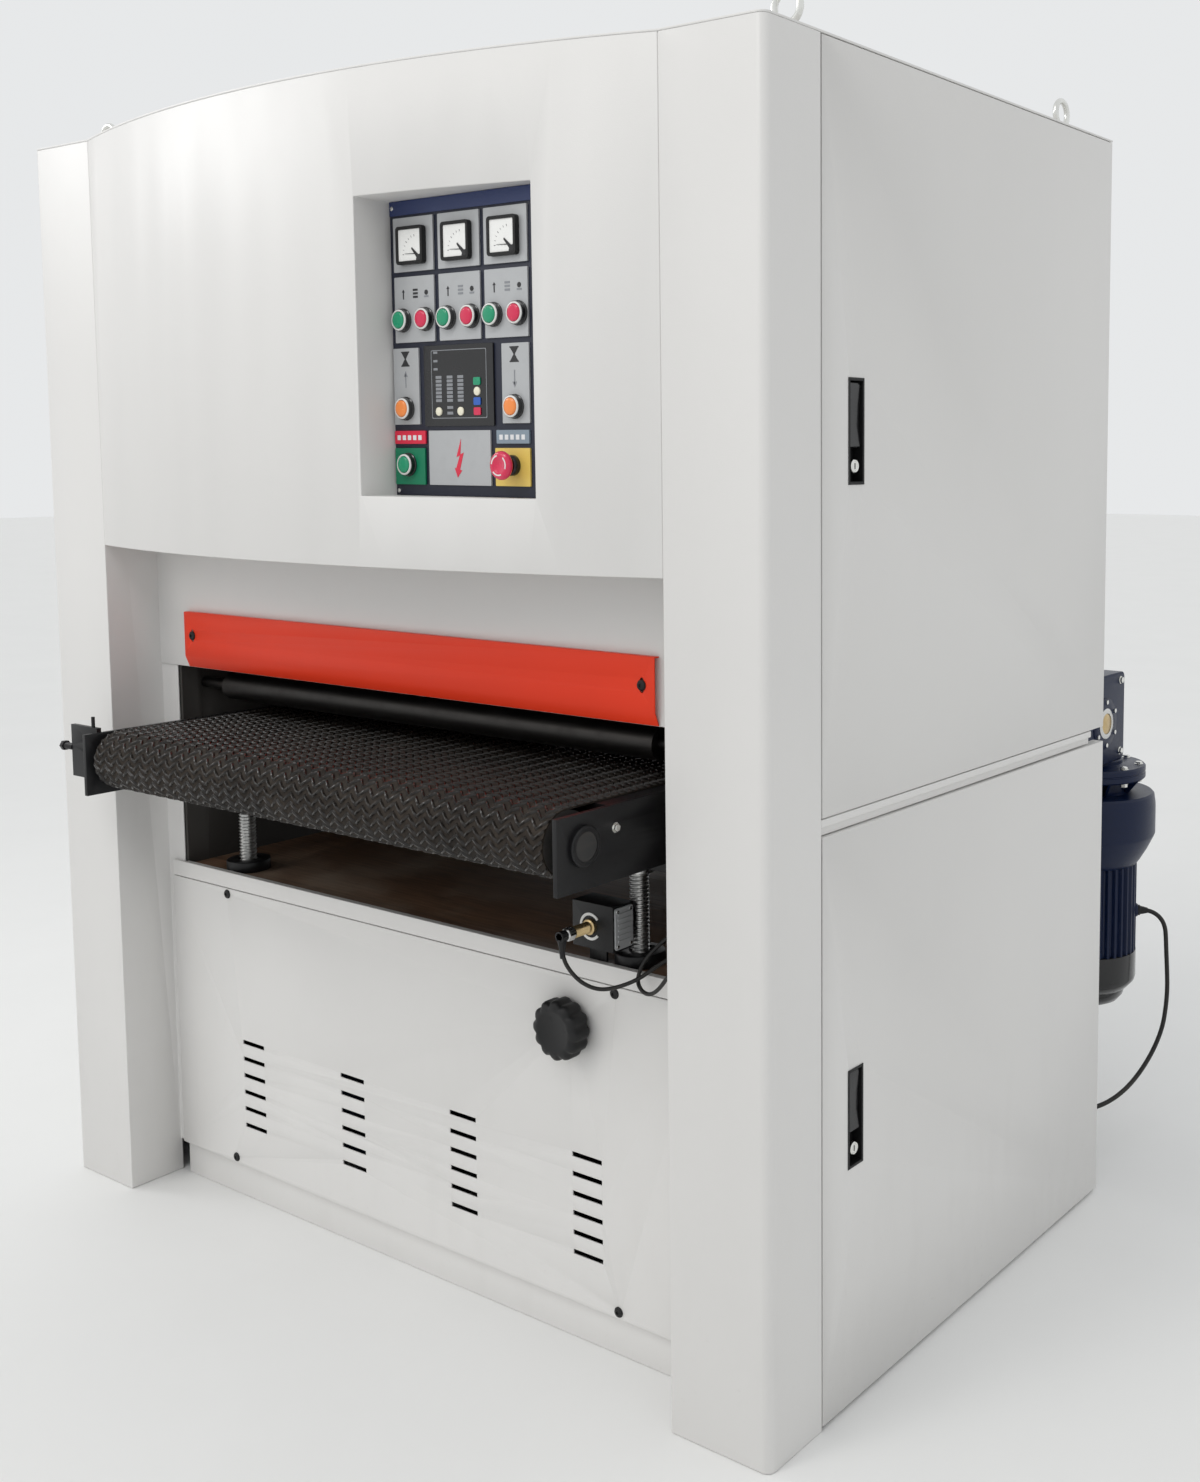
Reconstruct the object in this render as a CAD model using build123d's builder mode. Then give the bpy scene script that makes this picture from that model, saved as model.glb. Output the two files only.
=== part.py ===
from build123d import *
import math
import os

os.makedirs("parts", exist_ok=True)

# All sizes are millimetres. +X is to the right of someone feeding boards in, +Y is
# the way the boards travel and +Z is up. The origin is on the floor, under the
# middle of the casing.

# ---- casing ---------------------------------------------------------------------
width = 1650.0            # across the casing
depth = 1000.0            # pillar faces to the rear cover
height = 1900.0
sheet = 3.0               # casing plate
pillar_face = 172.0       # front width of a pillar
pillar_side = 120.0       # how far a pillar wraps round the side
pillar_radius = 14.0
setback = 102.0           # recessed parts of the front behind the pillar faces
jamb = 47.0               # flange of a pillar beside the window
bulge = 95.0              # how far the curved front stands out at its middle
panel_low = 1193.0        # lower edge of the curved front
window_low = 605.0
window_high = 971.0
plinth_height = 60.0
beam = 60.0               # width of the floor beams
frame_inside = 600.0      # centre to the inner face of a side frame
frame_plate = 20.0
board_thick = 18.0
door_gap = 2.0
door_depth = 20.0
rail_low = 844.0          # between the lower door and the upper door
rail_high = 867.0
hinge_inset = 12.0        # hinge axis inside the casing's side
hinge_back = 15.0         # hinge axis in front of the casing's rear
hinge_pin_r = 5.0
post = 48.0

# ---- running fits ---------------------------------------------------------------
fit = 0.05                # radial clearance of a shaft in its bore
belt_gap = 0.3            # between a belt and what it runs round
loose = 1.0               # clearance of parts that pass without guiding

# ---- table and feed -------------------------------------------------------------
work_width = 1000.0
feed_belt_width = 1060.0
feed_belt_thick = 5.7
table_half = 560.0        # centre to the outer face of a side plate
side_plate = 8.0
feed_roller_r = 45.0
feed_shaft_r = 20.0
feed_front_y = -560.0
feed_rear_y = 719.0
feed_axis_z = 832.0
plate_low = 771.0
plate_high = 877.0
plate_overhang = 50.0     # side plate beyond each roller axis
cross_beam = 30.0
cross_beam_high = 21.0    # below the side plates
beam_bite = 4.0           # how far the cross beams go up between the side plates
screw_x = 475.0
screw_y = 355.0
screw_r = 15.0
screw_flange_r = 24.0
screw_flange = 10.0
screw_foot_z = 430.0
nut_neck_r = 28.0
nut_low = 500.0
sprocket_r = 32.0
sprocket_low = 520.0
sprocket_thick = 8.0
chain_thick = 6.0
housing_r = 38.0
housing_high = 20.0       # cap of a screw housing above the board

# ---- gearmotor behind the machine -----------------------------------------------
gear_x = 670.0
gear_wide = 110.0
gear_long = 180.0
gear_low = 751.0
gear_high = 926.0
gear_arm_r = 55.0
worm_offset = 63.0        # output axis to motor axis

# ---- sanding heads --------------------------------------------------------------
sanding_z = 908.0         # the level that the abrasive belts sand at
abrasive_thick = 1.5
abrasive_width = 1020.0
drum_length = 1030.0
drum_r = 120.0
drum_y = -170.0
roller_r = 90.0
roller_y = 120.0
tension_r = 55.0
tension_front_z = 1690.0
tension_rear_y = 200.0
tension_rear_z = 1600.0
drum_shaft_r = 25.0
tension_shaft_r = 15.0
platen_back = 285.0
platen_deep = 52.0
platen_high = 40.0
platen_edge_r = 8.0
holddown_r = 25.0
holddown_lift = 0.5       # above the sanding level
holddown_front_y = -345.0
holddown_rear_y = 400.0
holddown_shaft_r = 10.0
housing_side = 110.0      # square flange bearings
housing_thick = 30.0
pulley_low_x = -715.0
pulley_wide = 50.0
drum_pulley_r = 70.0
motor_pulley_r = 80.0
vbelt_thick = 10.0
vbelt_wide = 40.0
motor_z = 250.0
motor_r = 110.0
motor_length = 380.0
motor_shaft_r = 19.0

# ---- control panel --------------------------------------------------------------
recess_left, recess_right = 160.0, 468.0
recess_low, recess_high = 1296.0, 1720.0
plate_back = 22.0         # the face of the control plate in front of the pillars
plate_thick = 4.0
tile_thick = 3.0
bezel_r = 17.0
bezel_high = 10.0
cap_r = 12.0
cap_proud = 2.0
cap_long = 8.0
column_x = (212.0, 306.0, 399.0)

start_z, lift_key_z, power_z = 1549.0, 1422.0, 1341.0
meter_row, key_row = (1618.0, 1695.0), (1517.0, 1611.0)
lift_row, label_row, power_row = (1399.0, 1509.0), (1371.0, 1390.0), (1312.0, 1365.0)
tile_half = 42.0
stop_head_r, stop_head, stop_proud = 20.0, 10.0, 8.0
stop_stem_r, stop_stem = 8.0, 13.0
stop_collar_r = 14.0

# ---- casing details -------------------------------------------------------------
port_x, port_y, port_r, port_high = 280.0, 300.0, 75.0, 90.0
eye_x, eye_front_y, eye_rear_y = 775.0, -385.0, 400.0
eye_shank_r, eye_ring_r, eye_wire_r = 6.0, 21.0, 5.0
guard_half, guard_low, guard_high, guard_deep, guard_lip = 559.0, 972.0, 1072.0, 11.0, 20.0
guard_slot_x, guard_slot_z = 535.0, 1030.0
cover_inset, cover_low, cover_high, cover_deep, cover_rim = 20.0, 62.0, 575.0, 7.0, 20.0
beam_inset = 25.0         # ends of the floor beams inside the pillars
cover_screw_x, cover_screw_r = 469.0, 4.0
vent_z, vent_columns_pitch, vent_pitch, vent_long, vent_high = 219.5, 272.0, 31.0, 61.0, 8.0
knob_x, knob_z, knob_shaft_r = 380.0, 500.0, 8.0
outfeed_low, outfeed_high = 600.0, 971.0
handle_y, handle_wide, handle_long = -298.0, 32.0, 138.0
upper_handle_z, lower_handle_z = 1388.0, 426.0
pan_deep, pan_wall = 19.0, 2.0
lever_r, lever_gap, lever_pin_r = 6.0, 2.0, 3.0
hinge_bush, hinge_bush_r = 40.0, 9.0

knob_r, knob_deep, knob_lobe_r, knob_shaft_y = 46.5, 38.0, 9.0, -330.0
switch_x, switch_y, switch_z = 446.0, -403.0, 668.0
switch_wide, switch_deep, switch_high = 80.0, 44.0, 68.0
foot_x, foot_wide = 423.0, 34.0
fitting_r, fitting_x, fitting_y, fitting_z = 8.0, 442.0, -490.0, 667.0
elbow_r, elbow_drop = 6.0, 12.0
gland_r, gland_long = 7.0, 7.0
frame_glands = ((-386.0, 635.0), (-378.0, 672.0))
pillar_gland = (-445.0, 645.0)
table_gland_y, table_gland_block, table_gland_lift = 590.0, 30.0, 3.0
switch_cable_dia, motor_cable_dia = 6.0, 9.0
platen_web_y, platen_top = 230.0, 1150.0
head_beam_high = 200.0
motor_bore = 60.0
bracket_x, bracket_y, bracket_thick, bracket_low, bracket_high = -640.0, -584.0, 8.0, 793.0, 884.0
bracket_slot_x, bracket_slots, bracket_slot, bracket_slot_high = -579.0, (838.0, 861.0), 34.0, 9.0
tension_rod_z, tension_rod_r, tension_rod = 843.0, 6.0, 24.0
gland_z, gland_reach, gland_way = 440.0, 108.0, (0.906, 0.423, 0)

# ---- worked out -----------------------------------------------------------------
half = width / 2
front = -depth / 2
rear = depth / 2
inner = half - pillar_face              # inner face of a pillar
flange_y = front + setback              # front face of the pillars' inner flanges
chord = inner
cover_half = inner - cover_inset
beam_half = inner - beam_inset
top = height - sheet                    # underside of the top cover
frame_outside = frame_inside + frame_plate
board_top = window_low - 5.0
board_low = board_top - board_thick
feed_r = feed_roller_r + belt_gap
table_top = feed_axis_z + feed_r + feed_belt_thick
run_z = sanding_z + abrasive_thick + belt_gap     # lowest line of drums and platen
drum_z = run_z + drum_r
roller_z = run_z + roller_r
holddown_z = sanding_z + holddown_lift + holddown_r
screw_spots = [(x, y) for y in (-screw_y, screw_y) for x in (-screw_x, screw_x)]
screw_top_z = plate_low - cross_beam_high
lever_x = half - sheet - lever_r
cover_screw_zs = (cover_low + 11.0, cover_high - 10.0)
cover_screw_spots = [(x, z) for x in (-cover_screw_x, cover_screw_x) for z in cover_screw_zs]
eye_spots = [(x, y) for y in (eye_front_y, eye_rear_y) for x in (-eye_x, eye_x)]
hinge_x = half - hinge_inset
hinge_y = rear - hinge_back
plate_y = front - plate_back - 3.0      # face of the control plate
tile_y = plate_y - tile_thick
button_y = tile_y - bezel_high

# ---- base and frame -------------------------------------------------------------
beam_y0, beam_y1 = flange_y, rear - 7.0
post_x = half - 31.0 - post / 2
rail_y0, rail_y1 = front + pillar_side, rear - sheet - post
with BuildPart() as base_frame:
    with BuildSketch():
        with Locations((0, beam_y0 + beam / 2), (0, beam_y1 - beam / 2)):
            Rectangle(2 * beam_half, beam)
        with Locations((0, (beam_y0 + beam_y1) / 2)):
            with GridLocations((beam_half - beam / 2) / 2, 0, 5, 1):
                Rectangle(beam, beam_y1 - beam_y0 - beam)
    extrude(amount=plinth_height)
    with BuildSketch():
        with Locations((post_x, rear - sheet - post / 2)):
            Rectangle(post, post)
    extrude(amount=top)
    with BuildSketch(Plane.XZ.offset(-rail_y0)):
        with Locations((half - 16.5, (rail_low + rail_high) / 2)):
            Rectangle(23.0, rail_high - rail_low)
        with Locations((half - 2.5, rail_high - 5.5)):
            Rectangle(5.0, 11.0)
    extrude(amount=rail_y0 - rail_y1)
    mirror(about=Plane.YZ)
base_frame.part.label = "base_frame"
export_step(base_frame.part, "parts/base_frame.step")

with BuildPart() as front_pillars:
    with BuildSketch():
        with Locations((half - pillar_face / 2, front + pillar_side / 2)):
            Rectangle(pillar_face, pillar_side)
        with Locations((half - pillar_face / 2, front + sheet + pillar_side / 2)):
            Rectangle(pillar_face - 2 * sheet, pillar_side, mode=Mode.SUBTRACT)
        fillet(vertices().sort_by_distance((half, front, 0))[0], pillar_radius)
        fillet(vertices().sort_by_distance((half - sheet, front + sheet, 0))[0], pillar_radius - sheet)
        with Locations((inner, flange_y + sheet + pillar_side / 2)):
            Rectangle(4 * sheet, pillar_side, mode=Mode.SUBTRACT)
    extrude(amount=top)
    with BuildSketch(Plane.XY.offset(plinth_height)):
        with Locations((inner + sheet - (jamb + sheet) / 2, flange_y + sheet / 2)):
            Rectangle(jamb + sheet, sheet)
    extrude(amount=top - plinth_height)
    mirror(about=Plane.YZ)
front_pillars.part.label = "front_pillars"
export_step(front_pillars.part, "parts/front_pillars.step")

# A side frame is bored for every shaft that crosses it.
frame_y0, frame_y1 = flange_y + sheet + 1.0, rear - sheet
bores = [
    (drum_y, drum_z, drum_shaft_r + 5.0),
    (roller_y, roller_z, drum_shaft_r + 5.0),
    (drum_y, tension_front_z, tension_shaft_r + 5.0),
    (tension_rear_y, tension_rear_z, tension_shaft_r + 5.0),
    (holddown_front_y, holddown_z, holddown_shaft_r + fit),
    (holddown_rear_y, holddown_z, holddown_shaft_r + fit),
    (drum_y, motor_z, motor_shaft_r + 10.0),
    (roller_y, motor_z, motor_shaft_r + 10.0),
]
with BuildPart() as side_frames:
    with BuildSketch(Plane.YZ.offset(frame_inside)):
        with Locations(((frame_y0 + frame_y1) / 2, (plinth_height + top) / 2)):
            Rectangle(frame_y1 - frame_y0, top - plinth_height)
        for y, z, r in bores:
            with Locations((y, z)):
                Circle(r, mode=Mode.SUBTRACT)
    extrude(amount=frame_plate)
    with BuildSketch(Plane.XZ.offset(-frame_y0 - 40.0)):
        with Locations((frame_inside - 15.0, board_low - 15.0)):
            Rectangle(30.0, 30.0)
    extrude(amount=-(frame_y1 - frame_y0 - 80.0))
    mirror(about=Plane.YZ)
side_frames.part.label = "side_frames"
export_step(side_frames.part, "parts/side_frames.step")

sleeve_r = nut_neck_r + fit + 6.0
with BuildPart() as base_board:
    with BuildSketch(Plane.XY.offset(board_low)):
        with Locations((0, (frame_y0 + frame_y1) / 2)):
            Rectangle(2 * frame_inside, frame_y1 - frame_y0)
        with Locations(*screw_spots):
            Circle(sleeve_r, mode=Mode.SUBTRACT)
    extrude(amount=board_thick)
base_board.part.label = "base_board"
export_step(base_board.part, "parts/base_board.step")

# ---- casing ---------------------------------------------------------------------
with BuildPart() as top_cover:
    with BuildSketch(Plane.XY.offset(top)):
        with BuildLine():
            ThreePointArc((-chord, front), (0, front - bulge), (chord, front))
            corners = (half, front), (half, rear), (-half, rear), (-half, front)
            Polyline((chord, front), *corners, (-chord, front))
        make_face()
        fillet([v for v in vertices() if abs(abs(v.X) - half) < 1 and v.Y < 0], pillar_radius)
        with Locations((-port_x, port_y), (port_x, port_y)):
            Circle(port_r - 2.0, mode=Mode.SUBTRACT)
        with Locations(*eye_spots):
            Circle(eye_shank_r, mode=Mode.SUBTRACT)
    extrude(amount=sheet)
    with BuildSketch(Plane.XY.offset(height)):
        with Locations((-port_x, port_y), (port_x, port_y)):
            Circle(port_r)
            Circle(port_r - 2.0, mode=Mode.SUBTRACT)
    extrude(amount=port_high)
top_cover.part.label = "top_cover"
export_step(top_cover.part, "parts/top_cover.step")

ring_z = height + 8.0 + eye_ring_r + eye_wire_r
with BuildPart() as eye_bolts:
    for (x, y), turn in zip(eye_spots, (90, 90, 0, 0)):
        with BuildSketch(Plane.XY.offset(height)):
            with Locations((x, y)):
                Circle(eye_shank_r + 8.0)
        extrude(amount=8.0)
        with BuildSketch(Plane.XY.offset(height - 20.0)):
            with Locations((x, y)):
                Circle(eye_shank_r)
        extrude(amount=20.0)
        ring_plane = Plane((x, y, ring_z), x_dir=(0, 0, 1), z_dir=(0, 1, 0) if turn else (1, 0, 0))
        with BuildSketch(ring_plane):
            Circle(eye_ring_r + eye_wire_r)
            Circle(eye_ring_r - eye_wire_r, mode=Mode.SUBTRACT)
        extrude(amount=eye_wire_r, both=True)
eye_bolts.part.label = "eye_bolts"
export_step(eye_bolts.part, "parts/eye_bolts.step")

with BuildPart() as front_panel:
    with BuildSketch(Plane.XY.offset(panel_low)):
        with BuildLine():
            ThreePointArc((-chord, front), (0, front - bulge), (chord, front))
            Line((chord, front), (chord, front + sheet))
            ThreePointArc((chord, front + sheet), (0, front - bulge + sheet), (-chord, front + sheet))
            Line((-chord, front + sheet), (-chord, front))
        make_face()
    extrude(amount=top - panel_low)
    with BuildSketch(Plane.XY.offset(panel_low)):
        with BuildLine():
            ThreePointArc((-chord, front), (0, front - bulge), (chord, front))
            Polyline((chord, front), (chord, flange_y - sheet), (-chord, flange_y - sheet), (-chord, front))
        make_face()
    extrude(amount=sheet)
    with BuildSketch(Plane.XY.offset(recess_low - sheet)):
        with BuildLine():
            ThreePointArc((-chord, front), (0, front - bulge), (chord, front))
            Line((chord, front), (-chord, front))
        make_face()
        with Locations(((recess_left + recess_right) / 2, plate_y + plate_thick + sheet - bulge)):
            Rectangle(recess_right - recess_left + 2 * sheet, 2 * bulge, mode=Mode.INTERSECT)
    extrude(amount=recess_high - recess_low + 2 * sheet)
    with Locations(((recess_left + recess_right) / 2, front, (recess_low + recess_high) / 2)):
        Box(recess_right - recess_left, 4 * bulge, recess_high - recess_low, mode=Mode.SUBTRACT)
front_panel.part.label = "front_panel"
export_step(front_panel.part, "parts/front_panel.step")

with BuildPart() as recess_panel:
    with BuildSketch(Plane.XZ.offset(-flange_y)):
        with Locations((0, (window_high + panel_low + 60.0) / 2)):
            Rectangle(2 * inner, panel_low + 60.0 - window_high)
    extrude(amount=sheet)
recess_panel.part.label = "recess_panel"
export_step(recess_panel.part, "parts/recess_panel.step")

guard_back = flange_y - sheet
with BuildPart() as front_guard:
    with BuildSketch(Plane.YZ.offset(-guard_half)):
        with BuildLine():
            Polyline(
                (guard_back, guard_high), (guard_back - guard_deep, guard_high),
                (guard_back - guard_deep, guard_low + guard_lip), (guard_back - 3.0, guard_low),
                (guard_back - 1.0, guard_low + 0.8), (guard_back - guard_deep + 2.0, guard_low + guard_lip),
                (guard_back - guard_deep + 2.0, guard_high - 2.0), (guard_back, guard_high - 2.0),
                close=True,
            )
        make_face()
    extrude(amount=2 * guard_half)
    with BuildSketch(Plane.XZ.offset(-guard_back)):
        with Locations((-guard_slot_x, guard_slot_z), (guard_slot_x, guard_slot_z)):
            SlotOverall(22.0, 7.0, rotation=90)
    extrude(amount=2 * guard_deep, mode=Mode.SUBTRACT)
front_guard.part.label = "front_guard"
export_step(front_guard.part, "parts/front_guard.step")

with BuildPart() as lower_cover:
    with BuildSketch(Plane.XZ.offset(-flange_y)):
        with Locations((0, (cover_low + cover_high) / 2)):
            Rectangle(2 * cover_half, cover_high - cover_low)
    extrude(amount=cover_deep)
    with BuildSketch(Plane.XZ.offset(-flange_y)):
        with Locations((0, (cover_low + cover_high) / 2)):
            Rectangle(2 * (cover_half - cover_rim), cover_high - cover_low - 2 * cover_rim)
    extrude(amount=cover_deep - 2.0, mode=Mode.SUBTRACT)
    with BuildSketch(Plane.XZ.offset(-flange_y)):
        with Locations((0, vent_z)):
            with GridLocations(vent_columns_pitch, vent_pitch, 4, 6):
                Rectangle(vent_long, vent_high)
        with Locations(*cover_screw_spots):
            Circle(cover_screw_r)
        with Locations((knob_x, knob_z)):
            Circle(knob_shaft_r + fit)
    extrude(amount=cover_deep, mode=Mode.SUBTRACT)
    with BuildSketch(Plane.XZ.offset(-flange_y)):
        with Locations((0, (cover_high + 2.0 + window_low) / 2)):
            Rectangle(2 * cover_half, window_low - cover_high - 2.0)
    extrude(amount=cover_deep)
    with BuildSketch(Plane.XY.offset(board_top)):
        with Locations((0, (flange_y + frame_y0) / 2)):
            Rectangle(2 * frame_inside - 2 * loose, frame_y0 - flange_y)
    extrude(amount=window_low - board_top)
lower_cover.part.label = "lower_cover"
export_step(lower_cover.part, "parts/lower_cover.step")

with BuildPart() as cover_screws:
    with BuildSketch(Plane.XZ.offset(cover_deep - flange_y)):
        with Locations(*cover_screw_spots):
            Circle(2 * cover_screw_r)
    extrude(amount=3.0)
    with BuildSketch(Plane.XZ.offset(2.0 - flange_y)):
        with Locations(*cover_screw_spots):
            Circle(cover_screw_r - 0.5)
    extrude(amount=cover_deep - 2.0)
    with BuildSketch(Plane.XZ.offset(guard_deep - guard_back)):
        with Locations((-guard_slot_x, guard_slot_z), (guard_slot_x, guard_slot_z)):
            Circle(2 * cover_screw_r)
    extrude(amount=3.0)
    with BuildSketch(Plane.XZ.offset(-guard_back)):
        with Locations((-guard_slot_x, guard_slot_z), (guard_slot_x, guard_slot_z)):
            Circle(cover_screw_r - 0.5)
    extrude(amount=guard_deep)
cover_screws.part.label = "cover_screws"
export_step(cover_screws.part, "parts/cover_screws.step")

side_centre_y = (rail_y0 + rear) / 2
side_long = rear - rail_y0 - 2 * door_gap
with BuildPart() as fixed_covers:
    with BuildSketch(Plane.XZ.offset(-rear)):
        with Locations((0, (outfeed_high + top) / 2)):
            Rectangle(2 * (post_x + post / 2), top - outfeed_high)
        with Locations((0, (outfeed_low + 3.0) / 2)):
            Rectangle(2 * (post_x + post / 2), outfeed_low - 3.0)
    extrude(amount=sheet)
    for z0, z1 in ((6.0, rail_low), (rail_high, top)):
        with BuildSketch(Plane.YZ.offset(-half)):
            with Locations((side_centre_y, (z0 + z1) / 2)):
                Rectangle(side_long, z1 - z0)
        extrude(amount=door_depth)
        with BuildSketch(Plane.YZ.offset(-half + sheet)):
            with Locations((side_centre_y, (z0 + z1) / 2)):
                Rectangle(side_long - 2 * sheet, z1 - z0 - 2 * sheet)
        extrude(amount=door_depth, mode=Mode.SUBTRACT)
fixed_covers.part.label = "fixed_covers"
export_step(fixed_covers.part, "parts/fixed_covers.step")

# ---- doors on the right ---------------------------------------------------------
doors = {
    "upper": (rail_high + door_gap, top - door_gap, upper_handle_z, (1050.0, 1750.0)),
    "lower": (6.0, rail_low - door_gap, lower_handle_z, (120.0, 720.0)),
}
for name, (z0, z1, handle_z, hinge_zs) in doors.items():
    with BuildPart() as door:
        with BuildSketch(Plane.YZ.offset(half)):
            with Locations((side_centre_y, (z0 + z1) / 2)):
                Rectangle(side_long, z1 - z0)
        extrude(amount=-door_depth)
        with BuildSketch(Plane.YZ.offset(half - sheet)):
            with Locations((side_centre_y, (z0 + z1) / 2)):
                Rectangle(side_long - 2 * sheet, z1 - z0 - 2 * sheet)
        extrude(amount=-door_depth, mode=Mode.SUBTRACT)
        with BuildSketch(Plane.YZ.offset(half - sheet)):
            with Locations((handle_y, handle_z)):
                Rectangle(handle_wide + 2 * pan_wall, handle_long + 2 * pan_wall)
        extrude(amount=sheet - pan_deep)
        with BuildSketch(Plane.YZ.offset(half)):
            with Locations((handle_y, handle_z)):
                Rectangle(handle_wide, handle_long)
        extrude(amount=2.0 - pan_deep, mode=Mode.SUBTRACT)
        with BuildSketch(Plane.XZ.offset(-handle_y)):
            with Locations((lever_x, handle_z + handle_long / 2 - lever_r - lever_gap)):
                Circle(lever_pin_r + fit)
        extrude(amount=handle_wide, both=True, mode=Mode.SUBTRACT)
        for z in hinge_zs:
            with Locations((half - sheet - (hinge_inset - sheet) / 2, hinge_y, z)):
                Box(hinge_inset - sheet, 2 * hinge_bush_r, hinge_bush)
            with Locations((hinge_x, hinge_y, z)):
                Cylinder(hinge_bush_r, hinge_bush)
            with Locations((half - sheet - door_depth / 2, rear - door_gap, z - hinge_bush / 2)):
                Box(door_depth, 4 * sheet, 2 * hinge_bush, mode=Mode.SUBTRACT)
            with Locations((hinge_x, hinge_y, z)):
                Cylinder(hinge_pin_r + fit, hinge_bush, mode=Mode.SUBTRACT)
    door.part.label = f"{name}_door"
    export_step(door.part, f"parts/{name}_door.step")

    with BuildPart() as lever:
        with BuildSketch(Plane.XZ.offset(-handle_y)):
            with Locations((lever_x, handle_z + 1.0)):
                SlotOverall(handle_long - 2 * lever_gap - 2.0, 2 * lever_r, rotation=90)
        extrude(amount=handle_wide / 2 - 2.0, both=True)
        with BuildSketch(Plane.XZ.offset(-handle_y)):
            with Locations((lever_x, handle_z + handle_long / 2 - lever_r - lever_gap)):
                Circle(lever_pin_r)
        extrude(amount=handle_wide / 2 + pan_wall, both=True)
    lever.part.label = f"{name}_handle"
    export_step(lever.part, f"parts/{name}_handle.step")

with BuildPart() as door_hinges:
    for _, _, _, hinge_zs in doors.values():
        for z in hinge_zs:
            with BuildSketch(Plane.XY.offset(z - hinge_bush / 2 - 0.5)):
                with Locations(((post_x + post / 2 + hinge_x + hinge_pin_r) / 2, hinge_y - 1.0)):
                    Rectangle(hinge_x + hinge_pin_r - post_x - post / 2, 2 * hinge_pin_r)
            extrude(amount=-8.0)
            with BuildSketch(Plane.XY.offset(z - hinge_bush / 2 - 1.0)):
                with Locations((hinge_x, hinge_y)):
                    Circle(hinge_pin_r)
            extrude(amount=hinge_bush + 4.0)
door_hinges.part.label = "door_hinges"
export_step(door_hinges.part, "parts/door_hinges.step")

# ---- control panel --------------------------------------------------------------
recess_x, recess_z = (recess_left + recess_right) / 2, (recess_low + recess_high) / 2
with BuildPart() as control_plate:
    with BuildSketch(Plane.XZ.offset(-plate_y)):
        with Locations((recess_x, recess_z)):
            Rectangle(recess_right - recess_left - loose, recess_high - recess_low - loose)
    extrude(amount=-plate_thick)
control_plate.part.label = "control_plate"
export_step(control_plate.part, "parts/control_plate.step")

key_offset = 24.0
buttons = {}
for n, x in enumerate(column_x, 1):
    buttons[f"start_button_{n}"] = (x - key_offset, start_z)
    buttons[f"stop_button_{n}"] = (x + key_offset, start_z)
buttons["raise_button"] = (column_x[0] - 22.0, lift_key_z)
buttons["lower_button"] = (column_x[2] + 14.0, lift_key_z)
buttons["power_button"] = (column_x[0] - 20.0, power_z)
stop_x = column_x[2] + 8.0

# Each tile is its left, right, lower and upper edge.
tiles = [(x - tile_half, x + tile_half, z0, z1) for x in column_x for z0, z1 in (meter_row, key_row)]
tiles += [
    (tiles[0][0] - 6.0, tiles[0][0] + 48.0, *lift_row), (tiles[-1][1] - 53.0, tiles[-1][1], *lift_row),
    (tiles[0][0] + 59.0, tiles[-1][1] - 70.0, lift_row[0] - 3.0, lift_row[1] + 2.0),
    (tiles[0][0] - 7.0, tiles[0][0] + 59.0, *label_row), (tiles[0][0] - 7.0, tiles[0][0] + 57.0, *power_row),
    (tiles[0][0] + 66.0, tiles[-1][1] - 78.0, power_row[0], label_row[1]),
    (tiles[-1][1] - 66.0, tiles[-1][1] - 2.0, *label_row),
    (tiles[-1][1] - 69.0, tiles[-1][1] - 1.0, *power_row),
]
with BuildPart() as panel_tiles:
    with BuildSketch(Plane.XZ.offset(-plate_y)):
        for x0, x1, z0, z1 in tiles:
            with Locations(((x0 + x1) / 2, (z0 + z1) / 2)):
                Rectangle(x1 - x0, z1 - z0)
    extrude(amount=tile_thick)
    with BuildSketch(Plane.XZ.offset(-tile_y)):
        with Locations(*buttons.values()):
            Circle(bezel_r)
            Circle(cap_r + fit, mode=Mode.SUBTRACT)
        with Locations((stop_x, power_z)):
            Circle(stop_collar_r)
            Circle(stop_stem_r + fit, mode=Mode.SUBTRACT)
    extrude(amount=bezel_high)
    with BuildSketch(Plane.XZ.offset(-tile_y)):
        for x in column_x:
            with Locations((x, sum(meter_row) / 2 - 2.0)):
                RectangleRounded(56.0, 54.0, 5.0)
    extrude(amount=8.0)
panel_tiles.part.label = "panel_tiles"
export_step(panel_tiles.part, "parts/panel_tiles.step")

for name, (x, z) in buttons.items():
    with BuildPart() as cap:
        with BuildSketch(Plane.XZ.offset(cap_proud - button_y)):
            with Locations((x, z)):
                Circle(cap_r)
        extrude(amount=-cap_long)
    cap.part.label = name
    export_step(cap.part, f"parts/{name}.step")

with BuildPart() as emergency_stop:
    with BuildSketch(Plane.XZ.offset(stop_proud - button_y)):
        with Locations((stop_x, power_z)):
            Circle(stop_head_r)
    extrude(amount=stop_head)
    fillet(emergency_stop.edges().group_by(Axis.Y)[0], stop_head / 2)
    with BuildSketch(Plane.XZ.offset(stop_proud - button_y)):
        with Locations((stop_x, power_z)):
            Circle(stop_stem_r)
    extrude(amount=-stop_stem)
emergency_stop.part.label = "emergency_stop"
export_step(emergency_stop.part, "parts/emergency_stop.step")

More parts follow.
